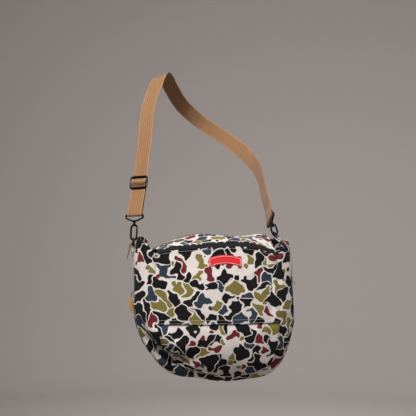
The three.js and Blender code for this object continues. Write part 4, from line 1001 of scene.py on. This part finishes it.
def woven_material(name):
    """Fine woven tape or thread: crossed yarns with a slight change of tone."""
    n = Nodes(name)
    light, dark = tones(name)
    spot = n.spot()
    across, _, down = n.axes(spot)
    weave = n.math("MULTIPLY", n.wave(across, YARNS[name]), n.wave(down, YARNS[name]))
    fuzz = n.noise(spot, 700.0, 3.0)
    tone = n.math("MULTIPLY_ADD", weave, 0.2, n.math("MULTIPLY_ADD", fuzz, 0.5, 0.25))
    n.set(Base_Color=n.mix(tone, dark, light), Roughness=0.75, Sheen_Weight=0.1)
    n.bump(n.math("MULTIPLY_ADD", fuzz, 0.5, weave), 0.45, 0.0002)
    return n.material


def teeth_material(name):
    """Black moulded teeth: flecked in tone and gloss."""
    n = Nodes(name)
    light, dark = tones(name)
    fleck = n.noise(n.spot(), 500.0)
    n.set(Base_Color=n.mix(fleck, dark, light), Roughness=n.math("MULTIPLY_ADD", fleck, 0.2, 0.3))
    return n.material


def backdrop_material(name, colour):
    """Painted floor and backdrop: one pale colour, faintly clouded."""
    n = Nodes(name)
    cloud = n.math("MULTIPLY", n.noise(n.spot(), 3.0, 3.0), 0.12)
    n.set(Base_Color=n.mix(cloud, tuple(colour) + (1.0,), FLOOR_SPECK), Roughness=0.9)
    return n.material


def flat_print(x, z, start=(0, 0)):
    """Print coordinates from two arrays, in millimetres, with the place where the print starts."""
    return np.stack(np.broadcast_arrays(x + start[0], z + start[1]), axis=-1)


def fitting(side):
    """Place and directions of one ear's ring and hook: up the pull along the cloth, out of the cloth, and the
    bar across both. Points down the tab take the steps in s and w whose slopes add up to one step down."""
    f = FITTINGS[side]
    s0, w0 = f["s"], f["w"]

    def tangents(s, w):
        along = (gusset(s + STRIDE, w) - gusset(s - STRIDE, w)) / (2 * STRIDE)
        across = (gusset(s, w + STRIDE) - gusset(s, w - STRIDE)) / (2 * STRIDE)
        lean = 2 * w - 1
        guide = gusset_out(np.asarray(s)) * (1 - lean * lean) - FORWARD * lean
        return along, across, turned(unit(np.cross(across, along)), guide)

    pull = unit(np.array(f["pull"]))
    along, across, out = tangents(s0, w0)
    up = across_from(pull, out)
    bar = unit(np.cross(up, out))
    ss, sw, ww = np.dot(along, along), np.dot(along, across), np.dot(across, across)
    det = ss * ww - sw * sw
    ds = -(ww * np.dot(along, up) - sw * np.dot(across, up)) / det
    dw = -(ss * np.dot(across, up) - sw * np.dot(along, up)) / det

    def cloth(t, lift):
        s, w = s0 + ds * t, w0 + dw * t
        return gusset(s, w) + tangents(s, w)[2] * lift

    hold = RING_WIRE + GAP + TAB_T / 2
    ply = TAB_LIFT + TAB_T / 2
    center = gusset(s0, w0) + out * (ply + hold)
    ring_up = across_from(pull, bar)
    wire = center + ring_up * RING_H
    hook_y = across_from(bar, pull)
    hook_x = unit(np.cross(hook_y, pull))
    if hook_x[0] < 0:
        hook_x, hook_y = -hook_x, -hook_y
    return {"cloth": cloth, "center": center, "up": up, "out": out, "bar": bar, "pull": pull, "hold": hold,
            "ply": ply, "ring_up": ring_up, "wire": wire, "hook_x": hook_x, "hook_y": hook_y,
            "eye": across_from(np.array(f["eye"]), pull), "eye_bar": wire + pull * EYE_BAR + BAG_AT}


def slider_directions():
    """Directions of the slider: up the webbing, across it, and out to the front."""
    start = np.array([SHOULDER_RUN[n][0] for n in "xyz"], float)
    up = unit(start - fitting("left")["eye_bar"])
    across = across_from(SLIDE_FACE, up)
    return up, across, turned(np.cross(across, up), FORWARD)


def eye_directions(along, bar, toward, facing):
    """Directions at a hook's eye: up the webbing toward a point, and out to one side."""
    up = across_from(toward - bar, along)
    return up, turned(np.cross(along, up), facing)


def strap_route():
    """Middle line and width direction of the whole webbing, as stations: sewn round the slider's bar, down
    and round the left eye, through the slider, over the shoulder, round the right eye and back on itself."""
    up, across, out = slider_directions()
    left, right = fitting("left"), fitting("right")
    left_bar, left_along = left["eye_bar"], left["eye"]
    left_up, left_out = eye_directions(left_along, left_bar, SLIDE_AT, FORWARD)
    run = np.stack(columns(SHOULDER_RUN), axis=-1)
    right_bar, right_along = right["eye_bar"], -right["eye"]
    right_up, right_out = eye_directions(right_along, right_bar, run[-1], RIGHTWARD)
    shoulder = curve_through(run, SHOULDER_STEPS)
    nearest = np.argmin(np.linalg.norm(shoulder[None] - run[:, None], axis=-1), axis=1)
    station = np.interp(np.arange(SHOULDER_STEPS), nearest, np.arange(len(run)))
    shoulder_turn = stack(*(column(SHOULDER_TURN, "k", n, station) for n in "xyz"))

    def lay(table, at, rise, away):
        height, distance = (values[:, None] for values in columns(table))
        return at + rise * height + away * distance

    route = (
        (arc(SLIDE_AT, up, out, WRAP, 190, -90, 16), across),
        (lay(TAIL_AT_SLIDER, SLIDE_AT, up, out), across),
        (lay(REAR_AT_EYE, left_bar, left_up, left_out), left_along),
        (arc(left_bar, left_up, left_out, EYE_WRAP, -90, -270, WRAP_STEPS), left_along),
        (lay(FRONT_AT_EYE, left_bar, left_up, left_out), left_along),
        (lay(INTO_SLIDER, SLIDE_AT, up, out), across),
        (arc(SLIDE_AT, up, out, OVER_WRAP, 135, 45, 6), across),
        (lay(OUT_OF_SLIDER, SLIDE_AT, up, out), across),
        (shoulder, shoulder_turn),
        (lay(ONTO_RIGHT_EYE, right_bar, right_up, right_out), right_along),
        (arc(right_bar, right_up, right_out, EYE_WRAP, 90, 270, WRAP_STEPS), right_along),
        (lay(SEWN_BACK, right_bar, right_up, right_out), right_along),
    )
    points = np.concatenate([p for p, _ in route])
    return points, np.concatenate([np.broadcast_to(turn, p.shape) for p, turn in route])


def power_setting(name, description, default):
    """Setting for the power of a light."""
    return bpy.props.FloatProperty(name=name, description=description, default=default, min=0.0, unit="POWER")


def colour_setting(name, description, default):
    """Setting for a colour."""
    return bpy.props.FloatVectorProperty(name=name, description=description, default=default, subtype="COLOR",
                                         size=3, min=0.0, max=1.0)


def dye_setting(name, description):
    """Setting for a dye of the print, from the table of dyes."""
    return colour_setting(name.capitalize(), description, rgb(*DYES[name])[:3])


class StageSettings(bpy.types.PropertyGroup):
    """Light and backdrop"""
    key: power_setting("Key light", "Power of the main light", 36.0)
    fill: power_setting("Fill light", "Power of the soft front light", 5.0)
    rear: power_setting("Rear light", "Power of the light behind", 22.0)
    wash: power_setting("Backdrop light", "Power of the light on the backdrop", 92.0)
    backdrop: colour_setting("Backdrop", "Colour of floor and backdrop", (0.3, 0.265, 0.248))


class ClothSettings(bpy.types.PropertyGroup):
    """Canvas and its print"""
    relief: bpy.props.FloatProperty(name="Relief", description="Amount of small wrinkles in the canvas",
                                    default=1.0, min=0.0, max=2.0, subtype="FACTOR")
    print_scale: bpy.props.FloatProperty(name="Print scale", description="Size of the print's blobs",
                                         default=1.0, min=0.3, max=3.0)
    yarn: bpy.props.FloatProperty(name="Yarn", description="Spacing of the canvas yarns", default=0.0011,
                                  min=0.0003, unit="LENGTH")
    ground: dye_setting("ground", "Pale ground of the print")
    black: dye_setting("black", "Dye of most blobs")
    olive: dye_setting("olive", "Green dye of the print")
    burgundy: dye_setting("burgundy", "Red dye of the print")
    teal: dye_setting("teal", "Blue dye of the print")


class BAG_OT_stage(bpy.types.Operator):
    """Camera, soft lights, floor and backdrop"""
    bl_idname = "bag.stage"
    bl_label = "Stage"

    def execute(self, context):
        scene = context.scene
        settings = scene.bag_stage
        camera = bpy.data.objects.new("camera", bpy.data.cameras.new("camera"))
        camera.data.sensor_width = CAMERA_SENSOR
        camera.data.lens = CAMERA_LENS
        camera.data.clip_end = CAMERA_FAR
        camera.location = CAMERA_AT
        camera.rotation_euler = (math.pi / 2, 0, CAMERA_YAW)
        scene.collection.objects.link(camera)
        scene.camera = camera
        for name, at, aim, size, spread, setting, share in LIGHTS:
            data = bpy.data.lights.new(name, "AREA")
            data.size = size
            data.energy = share * getattr(settings, setting)
            data.spread = math.radians(spread)
            light = bpy.data.objects.new(name, data)
            heading = unit(np.array(aim) - np.array(at))
            light.location = at
            turn = math.atan2(heading[1], heading[0]) - math.pi / 2
            light.rotation_euler = (math.acos(-heading[2]), 0, turn)
            scene.collection.objects.link(light)
        scene.world = bpy.data.worlds.new("studio")
        scene.world.use_nodes = True
        sky = scene.world.node_tree.nodes["Background"].inputs
        sky[0].default_value = SKY
        sky[1].default_value = SKY_STRENGTH
        scene.view_settings.view_transform = "Standard"
        self.floor(scene, settings)
        return {"FINISHED"}

    def floor(self, scene, settings):
        """Floor: a level square whose height grows with the square of the way past its round."""
        a, b = grid(FLOOR_CELLS, FLOOR_CELLS)
        x, y = (a - 0.5) * FLOOR_SPAN, (b - 0.5) * FLOOR_SPAN
        wall = np.maximum(0, np.hypot(x, y) - FLOOR_ROUND)
        points = stack(x, y, FLOOR_Z + FLOOR_RISE * wall ** 2).reshape(-1, 3)
        mesh = bpy.data.meshes.new("backdrop")
        mesh.from_pydata(points.tolist(), [], cells(np.arange(len(points)).reshape(x.shape)).tolist())
        mesh.shade_smooth()
        mesh.materials.append(backdrop_material("backdrop", settings.backdrop))
        floor = bpy.data.objects.new("backdrop", mesh)
        scene.collection.objects.link(floor)


class BAG_OT_laces(bpy.types.Operator):
    """Two strands of brown leather lace hung through the left ring"""
    bl_idname = "bag.laces"
    bl_label = "Laces"

    def execute(self, context):
        leather = leather_material("brown_leather")
        f = fitting("left")
        taper = np.where(np.linspace(0, 1, LACE_STEPS) > LACE_TIP, LACE_TIP_SCALE, 1.0)
        for name, table in (("lace_front", LACE_FRONT), ("lace_back", LACE_BACK)):
            up, out, bar = (values[:, None] for values in columns(table))
            path = curve_through(f["center"] + up * f["up"] + out * f["out"] + bar * f["bar"], LACE_STEPS)
            lace = sweep(f"{name}_strand", path, f["bar"], circle(LACE_R, LACE_SIDES), leather,
                         [name], scale=taper)
        return {"FINISHED"}


class BAG_OT_front(bpy.types.Operator):
    """Printed front in two panels, the upper one lapped over the lower one"""
    bl_idname = "bag.front"
    bl_label = "Front panels"

    def execute(self, context):
        cloth = context.scene.bag_cloth
        material = canvas_material("canvas_front", cloth)
        u, t = grid(*FRONT_GRID)
        outer = front(u, t * HEM_V, cloth.relief)
        uv = flat_print(outer[..., 0], outer[..., 2])
        canvas_shell("front_upper", outer, uv, material, "front_upper_panel")
        v = lerp(HEM_V - HEM_LAP_V, 1, t)
        outer = front(u, v, cloth.relief)
        outer[..., 1] += LAP_STEP * lap_under(v)
        uv = flat_print(outer[..., 0], -arc_lengths(outer, 0), LOWER_PRINT)
        canvas_shell("front_lower", outer, uv, material, "front_lower_panel")
        return {"FINISHED"}


class BAG_OT_body(bpy.types.Operator):
    """Printed gusset round the sides and bottom with its two ears, and the printed back"""
    bl_idname = "bag.body"
    bl_label = "Gusset and back"

    def execute(self, context):
        cloth = context.scene.bag_cloth
        material = canvas_material("canvas_body", cloth)
        s, w = grid(*GUSSET_GRID)
        outer = gusset(s, w, cloth.relief)
        mid = seam_middle(s)
        x, z = mid["x"], mid["z"]
        width = arc_lengths(outer, 0)
        run = arc_lengths(stack(x, 0, z) + gusset_out(s) * (mid["r"]["bulge"] / 2)[..., None], 1)
        lift = np.maximum(0, outer[..., 2] - z) * (mid["v"] < EAR_V)
        left = flat_print(x[:, :1] - width, z[:, :1] - run + lift)
        right = flat_print(x[:, -1:] + width, z[:, -1:] - run[:, -1:] + run + lift)
        canvas_shell("gusset_cloth", outer, left, material, "gusset", uv_right=right)
        outer = back(*grid(*BACK_GRID))
        uv = flat_print(-outer[..., 0], outer[..., 2], BACK_PRINT)
        canvas_shell("back_cloth", outer, uv, material, "back_panel")
        return {"FINISHED"}


class BAG_OT_mouth(bpy.types.Operator):
    """Black zip along the arched mouth with its teeth, and the printed cloth behind it"""
    bl_idname = "bag.mouth"
    bl_label = "Zip and top"

    def execute(self, context):
        a, t = grid(*ZIP_GRID)
        face = zip_point(lerp(ZIP_END, 1 - ZIP_END, a), t)
        face[..., 1] += ZIP_GROOVE * (np.abs(t - 0.5) < ZIP_GROOVE_HALF)
        rear = face - FORWARD * (ZIP_THICK - ZIP_BACK_EASE)
        uv = flat_print(face[..., 0], face[..., 2])
        shell("zip_tape", face, rear, uv, woven_material("zip_tape"), ["zip_band"])
        self.teeth()
        outer = top_point(*grid(*TOP_GRID))
        uv = flat_print(outer[..., 0], arc_lengths(outer, 0), TOP_PRINT)
        shell("top_cloth", outer, outer - np.array([0, 0, CLOTH]), uv,
              canvas_material("canvas_top", context.scene.bag_cloth), ["top_panel"])
        return {"FINISHED"}

    def teeth(self):
        """Teeth: eight-sided studs along the zip's middle, set up and down in turn, smaller at the face."""
        u = lerp(ZIP_END + TEETH_END, 1 - ZIP_END - TEETH_END, (np.arange(TEETH) + 0.5) / TEETH)
        middle = zip_point(u, np.full(TEETH, 0.5))[:, None]
        turn = np.linspace(0, 2 * np.pi, TOOTH_SIDES, endpoint=False)
        off = np.where(np.arange(TEETH) % 2, TOOTH_OFF, -TOOTH_OFF)[:, None]
        tall = np.minimum(TOOTH_TALL, TOOTH_SHARE * mouth(u)["zip_h"])[:, None]
        ring = stack(TOOTH_HALF * np.cos(turn), 0, tall * np.sin(turn) + off)
        root = middle + ring - FORWARD * TOOTH_ROOT
        face = middle + ring * TOOTH_TAPER + FORWARD * TOOTH_FACE
        idx, quads = tube((TEETH, 2, TOOTH_SIDES))
        caps = [idx[:, end][:, corners] for end, corners in (
            (0, [3, 2, 1, 0]), (0, [4, 3, 0, 7]), (0, [4, 7, 6, 5]),
            (1, [0, 1, 2, 3]), (1, [7, 0, 3, 4]), (1, [5, 6, 7, 4]))]
        make("zip_teeth", np.stack([root, face], axis=1), np.concatenate([quads] + caps),
             teeth_material("zip_teeth"))


class BAG_OT_label(bpy.types.Operator):
    """Plain arched red patch with a white border line"""
    bl_idname = "bag.label"
    bl_label = "Label"

    def execute(self, context):
        a, b = grid(*LABEL_GRID)
        edge = np.minimum(np.minimum(a, 1 - a) * LABEL_W, np.minimum(b, 1 - b) * LABEL_H)
        puff = LABEL_PUFF * smoothstep(edge, 0, LABEL_PUFF_EDGE)
        outer = label_point(a, b, LABEL_SEAT + LABEL_THICK - LABEL_PUFF + puff)
        inner = label_point(a, b, LABEL_SEAT)
        uv = flat_print(outer[..., 0], outer[..., 2])
        shell("label_cloth", outer, inner, uv, woven_material("label_red"), ["label_patch"])
        in_a, in_b = BORDER_INSET / LABEL_W, BORDER_INSET / LABEL_H
        long, short = np.linspace(in_a, 1 - in_a, BORDER_LONG), np.linspace(in_b, 1 - in_b, BORDER_SHORT)
        beside, above = np.ones(BORDER_SHORT - 1), np.ones(BORDER_LONG - 1)
        line_a = np.concatenate([long[:-1], beside * (1 - in_a), long[:0:-1], beside * in_a])
        line_b = np.concatenate([above * in_b, short[:-1], above * (1 - in_b), short[:0:-1]])
        path = label_point(line_a, line_b, LABEL_SEAT + LABEL_THICK + BORDER_LIFT)
        sweep("label_line", path, -FORWARD, circle(1.0, BORDER_SIDES) * np.array(BORDER_THREAD),
              woven_material("label_border"), closed=True)
        return {"FINISHED"}


class BAG_OT_fittings(bpy.types.Operator):
    """Cloth tabs, black rings, snap hooks and their gates"""
    bl_idname = "bag.fittings"
    bl_label = "Tabs, rings and hooks"

    def execute(self, context):
        metal = metal_material("black_metal")
        canvas = canvas_material("canvas_tab", context.scene.bag_cloth)
        for side in FITTINGS:
            f = fitting(side)
            self.tab(side, f, canvas)
            self.ring(side, f, metal)
            self.hook(side, f, metal)
        return {"FINISHED"}

    def tab(self, side, f, canvas):
        """Tab: a flat strip up the cloth, round the ring's bar and back down on itself."""
        route = [f["cloth"](t, f["ply"]) for t in TAB_STEPS]
        route += list(arc(f["center"], f["out"], f["up"], f["hold"], 180, 0, WRAP_STEPS))
        route.append(f["center"] + f["out"] * f["hold"] * TAB_FOLD_OUT - f["up"] * TAB_LONG * TAB_FOLD_DOWN)
        route += [f["cloth"](t, f["ply"] + TAB_T + GAP) for t in TAB_STEPS[::-1]]
        path = curve_through(np.array(route), TAB_POINTS)
        sweep(f"{side}_tab_cloth", path, f["bar"], flat_profile(TAB_W, TAB_T), canvas,
              [f"{side}_tab"])

    def ring(self, side, f, metal):
        """Ring: round wire along a squared half oval with a straight bar below."""
        turn, half = np.linspace(0, np.pi, RING_POINTS), RING_W / 2
        bow_x = half * squared(np.cos(turn), RING_SQUARE)
        bow_z = RING_H * (RING_SHOULDER + (1 - RING_SHOULDER) * np.sin(turn) ** RING_ARCH)
        foot_in, foot_z = columns(RING_FOOT)
        x = np.concatenate([bow_x, foot_in - half, [0], half - foot_in[::-1]])
        z = np.concatenate([bow_z, foot_z, [0], foot_z[::-1]])
        path = f["center"] + x[:, None] * f["bar"] + z[:, None] * f["ring_up"]
        facing = np.cross(f["bar"], f["ring_up"])
        sweep(f"{side}_ring_wire", path, facing, circle(RING_WIRE), metal, [f"{side}_ring"],
              closed=True)

    def hook(self, side, f, metal):
        """Hook: wire bent along the bow and the eye, a turned barrel between them, the gate at the bow."""
        def place(x, z, sideways="hook_x"):
            return f["wire"] + np.multiply.outer(x, f[sideways]) + np.multiply.outer(z, f["pull"])

        x, z = columns(HOOK_BOW)
        bow = curve_through(place(x * HOOK_HALF, z), BOW_POINTS)
        sweep(f"{side}_hook_bow", bow, f["hook_y"], circle(HOOK_WIRE), metal,
              [f"{side}_hook"])
        radius, z = columns(BARREL)
        z = z + np.linspace(0, BARREL_CREEP, len(z))
        sweep(f"{side}_hook_barrel", place(0 * z, z), f["hook_x"], circle(1.0, BARREL_SIDES), metal,
              scale=BARREL_R * radius)
        loop = curve_through(place(*columns(EYE_LOOP), sideways="eye"), EYE_POINTS, closed=True)
        sweep(f"{side}_hook_eye", loop, np.cross(f["pull"], f["eye"]), circle(EYE_WIRE), metal,
              closed=True)
        low = GATE_LOW + GAP
        shaft = np.linspace(low + GATE_ROUND, GATE_HIGH - GATE_ROUND, GATE_STEPS)
        z = np.concatenate([[low], shaft, [GATE_HIGH]])
        ends = np.pad(np.ones(GATE_STEPS), 1, constant_values=GATE_END)
        sweep(f"{side}_gate_bar", place(np.full(len(z), HOOK_HALF), z), f["hook_y"], circle(GATE_WIRE), metal,
              [f"{side}_gate"], body=f"{side}_gate", scale=ends)


class BAG_OT_strap(bpy.types.Operator):
    """Tan webbing from the slider over the shoulder to the right hook, and the black slider"""
    bl_idname = "bag.strap"
    bl_label = "Strap and slider"

    def execute(self, context):
        points, turns = strap_route()
        profile = flat_profile(WEB_W, WEB_T, WEB_SIDES)
        sweep("strap_webbing", points, turns, profile, webbing_material("tan_webbing"), ["strap"],
              bag=False)
        metal = metal_material("black_metal_slider")
        up, across, out = slider_directions()
        self.frame(up, across, out, metal)
        x = np.linspace(-0.5, 0.5, BAR_POINTS) * (SLIDER_WINDOW_W + 2 * BAR_SEAT)
        bar = SLIDE_AT + x[:, None] * across
        sweep("slider_bar", bar, up, circle(SLIDER_MID), metal, bag=False)
        return {"FINISHED"}

    def frame(self, up, across, out, metal):
        """Frame: eight squared ovals, outside and window, front and rear, bevelled at every edge."""
        turn = np.linspace(0, 2 * np.pi, SLIDER_SIDES, endpoint=False)
        c, s = np.cos(turn), np.sin(turn)
        half_h, thick = SLIDER_H / 2, SLIDER_T / 2
        side = thick - SLIDER_SOFT
        outside = np.stack([squared(c, SLIDER_CORNER) * SLIDER_OUT_W / 2, squared(s, SLIDER_CORNER) * half_h])
        window = np.stack([squared(c, WINDOW_CORNER) * SLIDER_WINDOW_W / 2,
                           squared(s, WINDOW_CORNER) * (half_h - SLIDER_BAR)])
        outside_in = outside * np.array(SLIDER_BEVEL)[:, None]
        window_out = window * np.array(WINDOW_BEVEL)[:, None]
        rings = ((outside, -side), (outside, side), (outside_in, thick), (window_out, thick), (window, side),
                 (window, -side), (window_out, -thick), (outside_in, -thick))
        verts = [SLIDE_AT + x[:, None] * across + y[:, None] * up + z * out for (x, y), z in rings]
        _, quads = tube((len(rings), SLIDER_SIDES), closed=True)
        make("slider_frame", verts, quads, metal, ["slider"], bag=False)


class BAG_OT_trims(bpy.types.Operator):
    """Leather pull on its cord at the left side, and the lace end at the right side"""
    bl_idname = "bag.trims"
    bl_label = "Pull and lace end"

    def execute(self, context):
        dark, tan = woven_material("dark_cord"), leather_material("tan_leather")
        pull = gusset(*PULL_PLACE) - RIGHTWARD * (GAP + CORD_R * ROOT_SINK)
        lace = gusset(*LACE_PLACE) + RIGHTWARD * (GAP + LACE_R * ROOT_SINK)
        for name, root, table, radius, material, slot in (
                ("pull_cord", pull, PULL_CORD, CORD_R, dark, "dark_cord"),
                ("right_lace", lace, RIGHT_LACE, LACE_R, tan, "tan_leather")):
            x, z = columns(table)
            path = curve_through(root + stack(x, 0, z), TRIM_POINTS)
            sweep(f"{name}_strand", path, -FORWARD, circle(radius, TRIM_SIDES), material, [name])
        end = pull + np.array([PULL_CORD["x"][-1], 0, PULL_CORD["z"][-1] - GAP])
        drop = np.concatenate([[0, 0.3], np.linspace(1, PULL_H - 1, PULL_POINTS), [PULL_H - 0.3, PULL_H]])
        path = end + stack(0, -PULL_BOW * np.sin(drop / PULL_H * np.pi), -drop)
        sweep("pull_leather", path, RIGHTWARD, flat_profile(PULL_W, PULL_T), tan, ["pull_tab"],
              scale=np.interp(drop, *columns(PULL_OUTLINE)))
        return {"FINISHED"}


class BAG_OT_stitches(bpy.types.Operator):
    """Rows of sewn thread: two on the hem, one below the zip and one along the top"""
    bl_idname = "bag.stitches"
    bl_label = "Stitching"

    def execute(self, context):
        thread = woven_material("thread")
        u = np.linspace(FRONT_ROW_END, 1 - FRONT_ROW_END, ROW_POINTS)
        for name, v in STITCH_ROWS.items():
            stitches(name, front(u, np.full(ROW_POINTS, v), context.scene.bag_cloth.relief), FORWARD, thread)
        a = np.linspace(TOP_ROW_END, 1 - TOP_ROW_END, ROW_POINTS)
        stitches("top_row", top_point(a, np.full(ROW_POINTS, TOP_ROW_Q)), TOP_FACING, thread)
        return {"FINISHED"}


class BAG_PT_panel(bpy.types.Panel):
    """Sidebar list of the bag's settings and steps"""
    bl_idname = "BAG_PT_panel"
    bl_label = "Canvas shoulder bag"
    bl_space_type = "VIEW_3D"
    bl_region_type = "UI"
    bl_category = "Bag"

    def draw(self, context):
        for settings in (context.scene.bag_stage, context.scene.bag_cloth):
            for name in settings.__annotations__:
                self.layout.prop(settings, name)
        for step in STEPS:
            self.layout.operator(step.bl_idname)


STEPS = (BAG_OT_stage, BAG_OT_laces, BAG_OT_front, BAG_OT_body, BAG_OT_mouth, BAG_OT_label, BAG_OT_fittings,
         BAG_OT_strap, BAG_OT_trims, BAG_OT_stitches)
CLASSES = (StageSettings, ClothSettings) + STEPS + (BAG_PT_panel,)


def register():
    for cls in CLASSES:
        bpy.utils.register_class(cls)
    bpy.types.Scene.bag_stage = bpy.props.PointerProperty(type=StageSettings)
    bpy.types.Scene.bag_cloth = bpy.props.PointerProperty(type=ClothSettings)


def unregister():
    del bpy.types.Scene.bag_stage
    del bpy.types.Scene.bag_cloth
    for cls in reversed(CLASSES):
        bpy.utils.unregister_class(cls)


def main():
    """Registers the add-on and runs its steps in order."""
    register()
    bpy.ops.bag.stage()
    bpy.ops.bag.laces()
    bpy.ops.bag.front()
    bpy.ops.bag.body()
    bpy.ops.bag.mouth()
    bpy.ops.bag.label()
    bpy.ops.bag.fittings()
    bpy.ops.bag.strap()
    bpy.ops.bag.trims()
    bpy.ops.bag.stitches()


if __name__ == "__main__":
    main()
